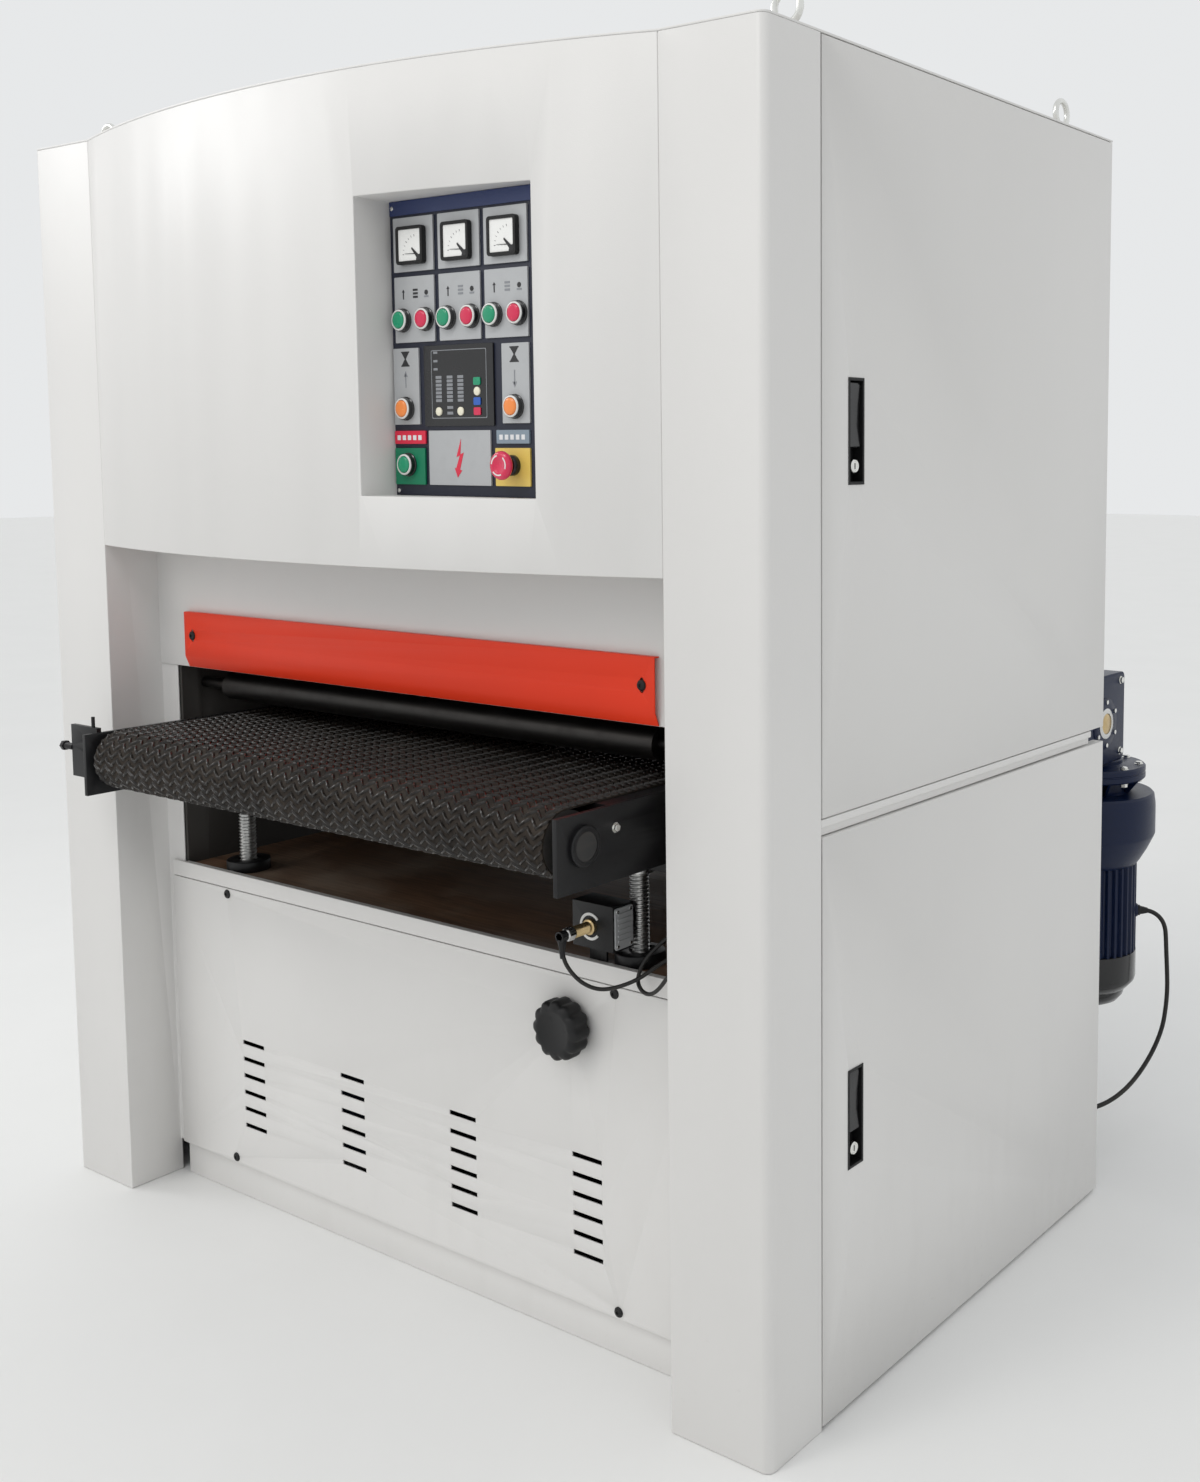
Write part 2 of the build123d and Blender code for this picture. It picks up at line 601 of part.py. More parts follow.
# ---- hand knob, limit switch and lift -------------------------------------------
knob_back = flange_y - cover_deep - 2.0
with BuildPart() as hand_knob:
    with BuildSketch(Plane.XZ.offset(-knob_back)):
        with Locations((knob_x, knob_z)):
            Circle(knob_r)
            with PolarLocations(knob_r + knob_lobe_r / 2, 12):
                Circle(knob_lobe_r, mode=Mode.SUBTRACT)
    extrude(amount=knob_deep)
    fillet(hand_knob.edges().group_by(Axis.Y)[0], 3.0)
    with BuildSketch(Plane.XZ.offset(-knob_back)):
        with Locations((knob_x, knob_z)):
            Circle(knob_shaft_r)
    extrude(amount=knob_back - knob_shaft_y)
hand_knob.part.label = "hand_knob"
export_step(hand_knob.part, "parts/hand_knob.step")

with BuildPart() as limit_switch:
    with Locations((switch_x, switch_y, switch_z)):
        Box(switch_wide, switch_deep, switch_high)
    with Locations((foot_x, frame_y0 + 6.0, board_top)):
        foot_high = switch_z - switch_high / 2 - board_top + 20.0
        Box(foot_wide, 4.0, foot_high, align=(Align.CENTER, Align.CENTER, Align.MIN))
    with BuildSketch(Plane.XZ.offset(-fitting_y)):
        with Locations((fitting_x, fitting_z)):
            Circle(fitting_r)
    extrude(amount=fitting_y - switch_y)
    with BuildSketch(Plane.XY.offset(fitting_z)):
        with Locations((fitting_x, fitting_y + elbow_r)):
            Circle(elbow_r)
    extrude(amount=-elbow_drop)
    with BuildSketch(Plane.YZ.offset(frame_inside)):
        with Locations(*frame_glands):
            Circle(gland_r)
    extrude(amount=-gland_long)
    with BuildSketch(Plane.YZ.offset(inner)):
        with Locations(pillar_gland):
            Circle(gland_r)
    extrude(amount=-gland_long)
limit_switch.part.label = "limit_switch"
export_step(limit_switch.part, "parts/limit_switch.step")

with BuildPart() as screw_housings:
    with BuildSketch(Plane.XY.offset(board_top)):
        with Locations(*screw_spots):
            Circle(housing_r)
            Circle(screw_r + loose, mode=Mode.SUBTRACT)
    extrude(amount=housing_high)
    with BuildSketch(Plane.XY.offset(board_top)):
        with Locations(*screw_spots):
            Circle(sleeve_r - loose / 2)
            Circle(nut_neck_r + fit, mode=Mode.SUBTRACT)
    extrude(amount=board_low - 20.0 - board_top)
screw_housings.part.label = "screw_housings"
export_step(screw_housings.part, "parts/screw_housings.step")

corners = ("front_left", "front_right", "rear_left", "rear_right")
for corner, (x, y) in zip(corners, screw_spots):
    with BuildPart() as nut:
        with BuildSketch(Plane.XY.offset(nut_low)):
            with Locations((x, y)):
                Circle(nut_neck_r)
        extrude(amount=board_top - loose - nut_low)
        with BuildSketch(Plane.XY.offset(sprocket_low)):
            with Locations((x, y)):
                Circle(sprocket_r)
        extrude(amount=sprocket_thick)
        with BuildSketch(Plane.XY.offset(nut_low)):
            with Locations((x, y)):
                Circle(screw_r + fit)
        extrude(amount=board_top - nut_low, mode=Mode.SUBTRACT)
    nut.part.label = f"lift_nut_{corner}"
    export_step(nut.part, f"parts/lift_nut_{corner}.step")

with BuildPart() as lift_chain:
    for grow, mode in ((chain_thick, Mode.ADD), (0.0, Mode.SUBTRACT)):
        with BuildSketch(Plane.XY.offset(sprocket_low + 1.0)):
            with Locations(*screw_spots):
                Circle(sprocket_r + belt_gap + grow)
            make_hull()
        extrude(amount=sprocket_thick - 2.0, mode=mode)
lift_chain.part.label = "lift_chain"
export_step(lift_chain.part, "parts/lift_chain.step")

with BuildPart() as lift_screws:
    with BuildSketch(Plane.XY.offset(screw_top_z)):
        with Locations(*screw_spots):
            Circle(screw_flange_r)
    extrude(amount=-screw_flange)
    with BuildSketch(Plane.XY.offset(screw_foot_z)):
        with Locations(*screw_spots):
            Circle(screw_r)
    extrude(amount=screw_top_z - screw_foot_z)
lift_screws.part.label = "lift_screws"
export_step(lift_screws.part, "parts/lift_screws.step")

# ---- feed table -----------------------------------------------------------------
plate_y0, plate_y1 = feed_front_y - plate_overhang, feed_rear_y + plate_overhang
bed_y0, bed_y1 = feed_front_y + feed_r + 10.0, feed_rear_y - feed_r - 10.0
bed_top = feed_axis_z + feed_r - belt_gap
with BuildPart() as table_frame:
    with BuildSketch(Plane.YZ.offset(table_half - side_plate)):
        with Locations(((plate_y0 + plate_y1) / 2, (plate_low + plate_high) / 2)):
            Rectangle(plate_y1 - plate_y0, plate_high - plate_low)
        with Locations((feed_front_y, feed_axis_z), (feed_rear_y, feed_axis_z)):
            Circle(feed_shaft_r + fit, mode=Mode.SUBTRACT)
    extrude(amount=side_plate)
    mirror(about=Plane.YZ)
    with BuildSketch(Plane.XY.offset(bed_top)):
        with Locations((0, (bed_y0 + bed_y1) / 2)):
            Rectangle(2 * (table_half - side_plate), bed_y1 - bed_y0)
    extrude(amount=-12.0)
    with BuildSketch(Plane.XY.offset(bed_top - 12.0)):
        with Locations((0, (bed_y0 + bed_y1) / 2)):
            with GridLocations(0, 350.0, 1, 3):
                Rectangle(2 * (table_half - side_plate), 12.0)
    extrude(amount=-60.0)
    with BuildSketch(Plane.XY.offset(plate_low + beam_bite)):
        with Locations((0, -screw_y), (0, screw_y)):
            Rectangle(2 * table_half, cross_beam)
    extrude(amount=-cross_beam_high - beam_bite)
    gland_middle = plate_low + table_gland_lift + table_gland_block / 2
    with Locations((table_half + table_gland_block / 2, table_gland_y, gland_middle)):
        Box(table_gland_block, table_gland_block, table_gland_block)
    with BuildSketch(Plane.XZ.offset(-bracket_y)):
        with Locations(((bracket_x - table_half) / 2, (bracket_low + bracket_high) / 2)):
            Rectangle(-table_half - bracket_x, bracket_high - bracket_low)
        with Locations(*[(bracket_slot_x, z) for z in bracket_slots]):
            SlotOverall(bracket_slot, bracket_slot_high, mode=Mode.SUBTRACT)
    extrude(amount=-bracket_thick)
    with BuildSketch(Plane.YZ.offset(bracket_x)):
        with Locations((bracket_y + bracket_thick / 2, tension_rod_z)):
            Circle(tension_rod_r)
    extrude(amount=-tension_rod)
    with BuildSketch(Plane.YZ.offset(bracket_x - tension_rod)):
        with Locations((bracket_y + bracket_thick / 2, tension_rod_z)):
            RegularPolygon(9.0, 6)
    extrude(amount=-8.0)
    with BuildSketch(Plane.XY.offset(bracket_high)):
        with Locations((bracket_slot_x + 2.0, bracket_y + bracket_thick / 2)):
            Circle(3.0)
    extrude(amount=18.0)
table_frame.part.label = "table_frame"
export_step(table_frame.part, "parts/table_frame.step")

with BuildPart() as feed_belt:
    with BuildSketch(Plane.YZ.offset(-feed_belt_width / 2)):
        with Locations(((feed_front_y + feed_rear_y) / 2, feed_axis_z)):
            SlotCenterToCenter(feed_rear_y - feed_front_y, 2 * (feed_r + feed_belt_thick))
            SlotCenterToCenter(feed_rear_y - feed_front_y, 2 * feed_r, mode=Mode.SUBTRACT)
    extrude(amount=feed_belt_width)
feed_belt.part.label = "feed_belt"
export_step(feed_belt.part, "parts/feed_belt.step")

# Each roller is its place along Y, and the ends of its shaft.
feed_rollers = {
    "front_roller": (feed_front_y, -table_half + 0.5, table_half + 6.0),
    "rear_roller": (feed_rear_y, -table_half - 6.0, gear_x + gear_wide / 2 + 4.0),
}
for name, (y, x0, x1) in feed_rollers.items():
    with BuildPart() as roller:
        with BuildSketch(Plane.YZ.offset(-feed_belt_width / 2)):
            with Locations((y, feed_axis_z)):
                Circle(feed_roller_r)
        extrude(amount=feed_belt_width)
        with BuildSketch(Plane.YZ.offset(x0)):
            with Locations((y, feed_axis_z)):
                Circle(feed_shaft_r)
        extrude(amount=x1 - x0)
    roller.part.label = name
    export_step(roller.part, f"parts/{name}.step")

with BuildPart() as worm_gearbox:
    with BuildSketch(Plane.YZ.offset(gear_x - gear_wide / 2)):
        with Locations((feed_rear_y, (gear_low + gear_high) / 2)):
            RectangleRounded(gear_long, gear_high - gear_low, 12.0)
    extrude(amount=gear_wide)
    with BuildSketch(Plane.YZ.offset(table_half)):
        with Locations((feed_rear_y, feed_axis_z)):
            Circle(gear_arm_r)
    extrude(amount=gear_x - gear_wide / 2 - table_half)
    with BuildSketch(Plane.YZ.offset(gear_x + gear_wide / 2)):
        with Locations((feed_rear_y, feed_axis_z)):
            Circle(34.0)
    extrude(amount=3.0)
    with BuildSketch(Plane.YZ.offset(table_half)):
        with Locations((feed_rear_y, feed_axis_z)):
            Circle(feed_shaft_r + fit)
    extrude(amount=gear_x + gear_wide / 2 + 10.0 - table_half, mode=Mode.SUBTRACT)
worm_gearbox.part.label = "worm_gearbox"
export_step(worm_gearbox.part, "parts/worm_gearbox.step")

motor_y = feed_rear_y + worm_offset
# The gearmotor hangs from the gearbox: radii and levels down its outline.
with BuildPart() as feed_motor:
    with BuildSketch(Plane.XZ.offset(-motor_y)):
        with BuildLine():
            Polyline(
                (gear_x, gear_low), (gear_x + 60.0, gear_low), (gear_x + 60.0, 740.0),
                (gear_x + 106.0, 740.0), (gear_x + 106.0, 713.0), (gear_x + 72.0, 713.0),
                (gear_x + 72.0, 685.0), (gear_x + 124.0, 685.0), (gear_x + 127.0, 655.0),
                (gear_x + 127.0, 600.0), (gear_x + 92.0, 545.0), (gear_x + 92.0, 305.0),
                (gear_x + 72.0, 285.0),
            )
            RadiusArc((gear_x + 72.0, 285.0), (gear_x + 40.0, 249.0), 34.0)
            Polyline((gear_x + 40.0, 249.0), (gear_x, 249.0), (gear_x, gear_low))
        make_face()
    revolve(axis=Axis((gear_x, motor_y, 0), (0, 0, 1)))
    gland_plane = Plane((gear_x, motor_y, gland_z), x_dir=(0, 0, 1), z_dir=gland_way)
    with BuildSketch(gland_plane.offset(80.0)):
        Circle(9.0)
    extrude(amount=gland_reach - 80.0)
feed_motor.part.label = "feed_motor"
export_step(feed_motor.part, "parts/feed_motor.step")

# ---- sanding heads --------------------------------------------------------------
def tube_of_circles(circles, start_x, long, thick):
    """A belt round circles given as (y, z, radius), from start_x along X."""
    with BuildPart() as loop:
        for grow, mode in ((thick, Mode.ADD), (0.0, Mode.SUBTRACT)):
            with BuildSketch(Plane.YZ.offset(start_x)):
                for y, z, r in circles:
                    with Locations((y, z)):
                        Circle(r + belt_gap + grow)
                make_hull()
            extrude(amount=long, mode=mode)
    return loop.part


platen_corner = (platen_back - platen_edge_r, run_z + platen_edge_r, platen_edge_r)
front_loop = [(drum_y, drum_z, drum_r), (drum_y, tension_front_z, tension_r)]
rear_loop = [(roller_y, roller_z, roller_r), platen_corner, (tension_rear_y, tension_rear_z, tension_r)]
with BuildPart() as abrasive_belts:
    for loop in (front_loop, rear_loop):
        add(tube_of_circles(loop, -abrasive_width / 2, abrasive_width, abrasive_thick))
abrasive_belts.part.label = "abrasive_belts"
export_step(abrasive_belts.part, "parts/abrasive_belts.step")

bearing_x = frame_outside + housing_thick
# Each turning roller: its place, radius, shaft radius, and the radius of its pulley.
rollers = {
    "contact_drum": (drum_y, drum_z, drum_r, drum_shaft_r, drum_pulley_r),
    "contact_roller": (roller_y, roller_z, roller_r, drum_shaft_r, drum_pulley_r),
    "front_tension_roller": (drum_y, tension_front_z, tension_r, tension_shaft_r, 0.0),
    "rear_tension_roller": (tension_rear_y, tension_rear_z, tension_r, tension_shaft_r, 0.0),
}
for name, (y, z, r, shaft_r, pulley_r) in rollers.items():
    with BuildPart() as roller:
        with BuildSketch(Plane.YZ.offset(-drum_length / 2)):
            with Locations((y, z)):
                Circle(r)
        extrude(amount=drum_length)
        with BuildSketch(Plane.YZ.offset(pulley_low_x if pulley_r else -bearing_x - 5.0)):
            with Locations((y, z)):
                Circle(shaft_r)
        extrude(amount=bearing_x + 5.0 - (pulley_low_x if pulley_r else -bearing_x - 5.0))
        if pulley_r:
            with BuildSketch(Plane.YZ.offset(pulley_low_x)):
                with Locations((y, z)):
                    Circle(pulley_r)
            extrude(amount=pulley_wide)
    roller.part.label = name
    export_step(roller.part, f"parts/{name}.step")

with BuildPart() as bearing_housings:
    for y, z, _, shaft_r, _ in rollers.values():
        with BuildSketch(Plane.YZ.offset(frame_outside)):
            with Locations((y, z)):
                RectangleRounded(housing_side, housing_side, 14.0)
                Circle(shaft_r + fit, mode=Mode.SUBTRACT)
        extrude(amount=housing_thick)
    mirror(about=Plane.YZ)
bearing_housings.part.label = "bearing_housings"
export_step(bearing_housings.part, "parts/bearing_housings.step")

with BuildPart() as head_beams:
    with BuildSketch(Plane.YZ.offset(-frame_inside)):
        with Locations((drum_y, 1350.0), (platen_web_y, platen_top + head_beam_high / 2)):
            Rectangle(60.0, head_beam_high)
    extrude(amount=2 * frame_inside)
head_beams.part.label = "head_beams"
export_step(head_beams.part, "parts/head_beams.step")

with BuildPart() as platen:
    with BuildSketch(Plane.YZ.offset(-work_width / 2)):
        with Locations((platen_corner[0] - platen_deep / 2, run_z + platen_high / 2)):
            Rectangle(platen_deep, platen_high)
        with Locations(platen_corner[:2]):
            Circle(platen_edge_r)
        with Locations((platen_web_y, (run_z + platen_high + platen_top) / 2)):
            Rectangle(10.0, platen_top - run_z - platen_high)
    extrude(amount=work_width)
platen.part.label = "platen"
export_step(platen.part, "parts/platen.step")

holddowns = {"infeed_roller": holddown_front_y, "outfeed_roller": holddown_rear_y}
for name, y in holddowns.items():
    with BuildPart() as roller:
        with BuildSketch(Plane.YZ.offset(-drum_length / 2)):
            with Locations((y, holddown_z)):
                Circle(holddown_r)
        extrude(amount=drum_length)
        with BuildSketch(Plane.YZ.offset(-frame_outside)):
            with Locations((y, holddown_z)):
                Circle(holddown_shaft_r)
        extrude(amount=2 * frame_outside)
    roller.part.label = name
    export_step(roller.part, f"parts/{name}.step")

motor_x0 = -frame_inside + 10.0
rotors = {"front_motor_pulley": drum_y, "rear_motor_pulley": roller_y}
with BuildPart() as main_motors:
    for y in rotors.values():
        with BuildSketch(Plane.YZ.offset(motor_x0)):
            with Locations((y, motor_z)):
                Circle(motor_r)
        extrude(amount=motor_length)
        with BuildSketch(Plane.YZ.offset(motor_x0)):
            with Locations((y, (plinth_height + motor_z) / 2)):
                Rectangle(1.6 * motor_r, motor_z - plinth_height)
        extrude(amount=motor_length)
        with BuildSketch(Plane.YZ.offset(motor_x0)):
            with Locations((y, motor_z)):
                Circle(motor_shaft_r + fit)
        extrude(amount=motor_bore, mode=Mode.SUBTRACT)
main_motors.part.label = "main_motors"
export_step(main_motors.part, "parts/main_motors.step")

for name, y in rotors.items():
    with BuildPart() as rotor:
        with BuildSketch(Plane.YZ.offset(pulley_low_x)):
            with Locations((y, motor_z)):
                Circle(motor_pulley_r)
        extrude(amount=pulley_wide)
        with BuildSketch(Plane.YZ.offset(pulley_low_x)):
            with Locations((y, motor_z)):
                Circle(motor_shaft_r)
        extrude(amount=motor_x0 + motor_bore - loose - pulley_low_x)
    rotor.part.label = name
    export_step(rotor.part, f"parts/{name}.step")

vbelt_x = pulley_low_x + (pulley_wide - vbelt_wide) / 2
with BuildPart() as drive_belts:
    for y, z in ((drum_y, drum_z), (roller_y, roller_z)):
        pair = [(y, z, drum_pulley_r), (y, motor_z, motor_pulley_r)]
        add(tube_of_circles(pair, vbelt_x, vbelt_wide, vbelt_thick))
drive_belts.part.label = "drive_belts"
export_step(drive_belts.part, "parts/drive_belts.step")

# ---- cables ---------------------------------------------------------------------
# Points of each route, chosen by hand: straight runs joined by arcs as large as fit.
switch_route = [
    (442, -484, 655), (442, -484, 637), (452, -480, 617), (471, -474, 600), (495, -464, 592),
    (519, -448, 597), (540, -428, 608), (553, -410, 622), (565, -394, 632), (579, -386, 635),
    (593, -386, 635),
]
link_route = [
    (593, -378, 672), (578, -378, 672), (560, -382, 664), (544, -392, 648), (533, -404, 632),
    (528, -414, 616), (530, -423, 601), (541, -428, 591), (557, -431, 588), (573, -434, 595),
    (589, -438, 609), (606, -443, 628), (626, -445, 645), (646, -445, 645),
]
motor_route = [
    (768, 827.8, 440), (779.9, 833.3, 440), (791.4, 838.7, 435.9), (801.1, 843.2, 428.1),
    (808.2, 846.5, 417.3), (812, 848.3, 404.7), (813.3, 848.9, 391.5), (814, 849.2, 375),
    (814.8, 849.4, 352), (815.6, 849.2, 320), (815.8, 847.2, 283), (815, 840, 246), (813, 825, 205),
    (808, 788, 165), (799, 740, 132), (789, 690, 112), (772, 640, 100), (744, 600, 96), (706, 574, 99),
    (662, 565, 112), (624, 571, 142), (598, 583, 188), (586, 591, 242), (581, 596, 325), (583, 588, 432),
    (589, 592, 545), (585, 590, 655), (585, 590, 774),
]


def route_tube(points, dia):
    """A tube along straight runs joined by tangent arcs, with its radii printed."""
    runs = [(Vector(*b) - Vector(*a)) for a, b in zip(points, points[1:])]
    radii = []
    for a, b in zip(runs, runs[1:]):
        radii.append(0.45 * min(a.length, b.length) / math.tan(math.radians(a.get_angle(b)) / 2))
    with BuildPart() as tube:
        with BuildLine() as path:
            FilletPolyline(*points, radius=radii)
        with BuildSketch(Plane(origin=points[0], z_dir=runs[0])):
            Circle(dia / 2)
        sweep(path=path.line)
    share = tube.part.volume / (math.pi * dia**2 / 4 * path.wires()[0].length)
    long = path.wires()[0].length
    print("cable", round(long, 2), "least radius", round(min(radii), 1), "share", round(share, 4))
    return tube.part


cables = {
    "switch_cable": ((switch_route, link_route), switch_cable_dia),
    "motor_cable": ((motor_route,), motor_cable_dia),
}
for name, (routes, dia) in cables.items():
    with BuildPart() as cable:
        for points in routes:
            add(route_tube(points, dia))
    cable.part.label = name
    export_step(cable.part, f"parts/{name}.step")
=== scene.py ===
"""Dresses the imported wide-belt sander: finishes, fittings, feed belt, cables, studio."""
import logging
import math
from dataclasses import dataclass, field
from enum import Enum
from functools import lru_cache
from typing import Any, Callable, Iterable, Sequence, Union

import bmesh
import bpy
from mathutils import Matrix, Vector


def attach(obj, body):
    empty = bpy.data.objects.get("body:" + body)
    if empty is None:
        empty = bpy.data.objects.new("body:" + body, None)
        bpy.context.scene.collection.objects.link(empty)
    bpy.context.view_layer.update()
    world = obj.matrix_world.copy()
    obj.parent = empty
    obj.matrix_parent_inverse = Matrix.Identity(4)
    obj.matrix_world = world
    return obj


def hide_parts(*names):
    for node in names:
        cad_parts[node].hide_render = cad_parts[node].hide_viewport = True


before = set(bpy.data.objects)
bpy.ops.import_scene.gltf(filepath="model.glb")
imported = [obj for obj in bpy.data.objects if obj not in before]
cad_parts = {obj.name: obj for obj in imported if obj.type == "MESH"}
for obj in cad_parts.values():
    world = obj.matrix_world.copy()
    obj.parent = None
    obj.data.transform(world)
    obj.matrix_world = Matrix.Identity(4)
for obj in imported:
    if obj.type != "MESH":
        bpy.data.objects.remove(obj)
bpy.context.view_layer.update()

log = logging.getLogger("sander")

Colour = tuple[float, float, float]
Pair = tuple[float, float]
Triple = tuple[float, float, float]
Operand = Union["Wire", float]
Wave = Callable[[float, float, float], float]  # a radius from an angle, a radius and a place along

MERGE = 1e-5  # points of a CAD node's mesh closer than this are one point
CLOSE = 1e-7  # the same, where a turned profile meets itself
FLAT = math.radians(0.6)  # neighbouring faces of a CAD node within this angle are one face


class Slot(Enum):
    """The record's material slots."""

    CASING = "casing_paint"
    GUARD = "guard_paint"
    FRAME = "frame_paint"
    BLACK = "black_paint"
    NAVY = "navy_paint"
    BOARD = "board"
    STEEL = "bright_steel"
    ZINC = "zinc"
    IRON = "cast_iron"
    PANEL_DARK = "panel_dark"
    PANEL_GREY = "panel_grey"
    GREEN = "green_cap"
    RED = "red_cap"
    ORANGE = "orange_cap"
    PLASTIC = "black_plastic"
    BELT = "feed_rubber"
    DRUM = "drum_rubber"
    ABRASIVE = "abrasive"
    DRIVE = "drive_rubber"
    CABLE = "cable_sheath"


class Axis(Enum):
    """The direction that an outline is pushed out along, or that a profile turns about."""

    X = 0
    Y = 1
    Z = 2


# ---- shader maths ---------------------------------------------------------------
class Wire:
    """A value on its way through a shader; arithmetic on it adds Math nodes."""

    def __init__(self, shader: "Shader", socket: bpy.types.NodeSocket) -> None:
        """Wraps one output socket of a shader."""
        self.shader = shader
        self.socket = socket

    def math(self, operation: str, *operands: Operand) -> "Wire":
        """Adds a Math node.

        Args:
            operation: Blender's name of the operation.
            operands: its values or wires, in order.

        Returns:
            The node's result.
        """
        return self.shader.node(
            "ShaderNodeMath", {"operation": operation}, dict(enumerate(operands))
        )

    def __add__(self, other: Operand) -> "Wire":
        """self + other."""
        return self.math("ADD", self, other)

    def __radd__(self, other: Operand) -> "Wire":
        """other + self."""
        return self.math("ADD", other, self)

    def __sub__(self, other: Operand) -> "Wire":
        """self - other."""
        return self.math("SUBTRACT", self, other)

    def __rsub__(self, other: Operand) -> "Wire":
        """other - self."""
        return self.math("SUBTRACT", other, self)

    def __mul__(self, other: Operand) -> "Wire":
        """self * other."""
        return self.math("MULTIPLY", self, other)

    def between(self, low: float, high: float) -> "Wire":
        """Runs from 0 at low to 1 at high, and stays within."""
        return self.shader.node(
            "ShaderNodeMapRange", {"clamp": True}, {
                "Value": self, "From Min": low, "From Max": high
            }
        )


class Shader:
    """One material, with its Principled shader and the nodes that feed it."""

    def __init__(self, name: str, **constants: Any) -> None:
        """Makes the material.

        Args:
            name: the material's name.
            constants: values set on the shader's own sockets, with _ for a space.
        """
        self.material = bpy.data.materials.new(name)
        self.material.use_nodes = True
        self.tree = self.material.node_tree
        self.principled = self.tree.nodes["Principled BSDF"]
        for key, value in constants.items():
            self.feed(key.replace("_", " "), value)

    def node(
        self,
        kind: str,
        settings: dict[str, Any] | None = None,
        inputs: dict[Any, Any] | None = None,
        out: Any = 0,
    ) -> Wire:
        """Adds any node.

        Args:
            kind: Blender's type of the node.
            settings: its properties; "stops" are a colour ramp's stops.
            inputs: a value or a wire for each named or numbered socket.
            out: the output that is wanted.

        Returns:
            That output.
        """
        made = self.tree.nodes.new(kind)
        for key, value in (settings or {}).items():
            if key == "stops":
                ramp = made.color_ramp
                while len(ramp.elements) < len(value):
                    ramp.elements.new(0.5)
                for element, (place, colour) in zip(ramp.elements, value):
                    element.position, element.color = place, (*colour, 1.0)
            else:
                setattr(made, key, value)
        for key, value in (inputs or {}).items():
            if isinstance(value, Wire):
                self.tree.links.new(value.socket, made.inputs[key])
            else:
                made.inputs[key].default_value = value
        return Wire(self, made.outputs[out])

    def feed(self, socket: str, value: Any) -> None:
        """Gives one of the Principled shader's sockets a value, a colour or a wire."""
        target = self.principled.inputs[socket]
        if isinstance(value, Wire):
            self.tree.links.new(value.socket, target)
        else:
            target.default_value = (*value, 1.0) if isinstance(value, tuple) else value

    def place(self, stretch: Triple = (1.0, 1.0, 1.0)) -> Wire:
        """The point on the piece, in metres, with each axis stretched."""
        at = self.node("ShaderNodeTexCoord", out="Object")
        if stretch == (1.0, 1.0, 1.0):
            return at
        return self.node("ShaderNodeVectorMath", {"operation": "MULTIPLY"}, {0: at, 1: stretch})

    def axis(self, axis: Axis) -> Wire:
        """One coordinate of the point on the piece, in metres."""
        return self.node("ShaderNodeSeparateXYZ", inputs={0: self.place()}, out=axis.value)

    def noise(self, scale: float, detail: float = 3.0, stretch: Triple = (1.0, 1.0, 1.0)) -> Wire:
        """Soft noise, about 0.5, with scale features to the metre."""
        inputs = {
            "Vector": self.place(stretch), "Scale": scale, "Detail": detail, "Roughness": 0.55
        }
        return self.node("ShaderNodeTexNoise", inputs=inputs)

    def cells(self, scale: float, stretch: Triple = (1.0, 1.0, 1.0)) -> Wire:
        """The distance to the nearest of scattered points."""
        return self.node(
            "ShaderNodeTexVoronoi", inputs={"Vector": self.place(stretch), "Scale": scale}
        )

    def blend(self, share: Operand, first: Any, second: Any) -> Wire:
        """Goes from the first colour to the second as share goes from 0 to 1."""
        colours = [c if isinstance(c, Wire) else (*c, 1.0) for c in (first, second)]
        return self.node(
            "ShaderNodeMix", {"data_type": "RGBA"}, {0: share, 6: colours[0], 7: colours[1]}, out=2
        )

    def relief(self, height: Wire, distance: float, strength: float = 1.0) -> None:
        """Raises the surface by height times distance, as a bump."""
        inputs = {"Height": height, "Distance": distance, "Strength": strength}
        self.feed("Normal", self.node("ShaderNodeBump", inputs=inputs))


# ---- finishes -------------------------------------------------------------------
@dataclass(frozen=True)
class Finish:
    """A finish of one colour, which the kinds below work up."""

    name: str
    colour: Colour

    def shade(self) -> bpy.types.Material:
        """Makes the finish's material."""
        raise NotImplementedError

    def tone(self, factor: float) -> Colour:
        """The finish's colour, lighter or darker."""
        return tuple(min(1.0, c * factor) for c in self.colour)


@lru_cache(maxsize=None)
def material(finish: Finish) -> bpy.types.Material:
    """The material of a finish, made once."""
    return finish.shade()


@dataclass(frozen=True)
class Enamel(Finish):
    """Sprayed enamel on sheet metal or a casting, with orange peel, shop soiling and painted shade
    towards the floor.
    """

    roughness: float = 0.42
    peel: float = 0.00012
    grime_and_shade: float = 0.25
    mottle: float = 0.03
    gloss: float = 0.5
    soil_and_shade: Colour = (0.20, 0.17, 0.14)

    def shade(self) -> bpy.types.Material:
        """Mottled colour, soiling in smears and specks that thickens towards the floor, partly as
        painted shade, and a fine peel.
        """
        s = Shader(self.name, Specular_IOR_Level=self.gloss)
        cloud = s.noise(2.2, 4.0).between(0.3, 0.7)
        base = s.blend(cloud, self.tone(1.0 - self.mottle), self.tone(1.0 + self.mottle))
        # Painted shade in part: this mask grows towards the floor, so on light enamels the lower
        # parts darken as if shaded, besides the soiling.
        low = 1.0 - s.axis(Axis.Z).between(0.0, 0.5)
        smear = s.noise(14.0, 6.0, (1.0, 1.0, 0.35)).between(0.52, 0.8)
        specks = s.noise(95.0, 2.0).between(0.68, 0.76)
        dirt_and_shade = smear * (low * 0.7 + 0.12) + specks * (low * 0.5 + 0.06)
        s.feed("Base Color", s.blend((dirt_and_shade * self.grime_and_shade).between(0.0, 1.0), base, self.soil_and_shade))
        s.feed("Roughness", self.roughness + dirt_and_shade * 0.3 + (cloud - 0.5) * 0.06)
        peel = s.noise(620.0, 2.0) + s.noise(7.0, 2.0) * 3.0
        s.relief(peel, self.peel)
        return s.material


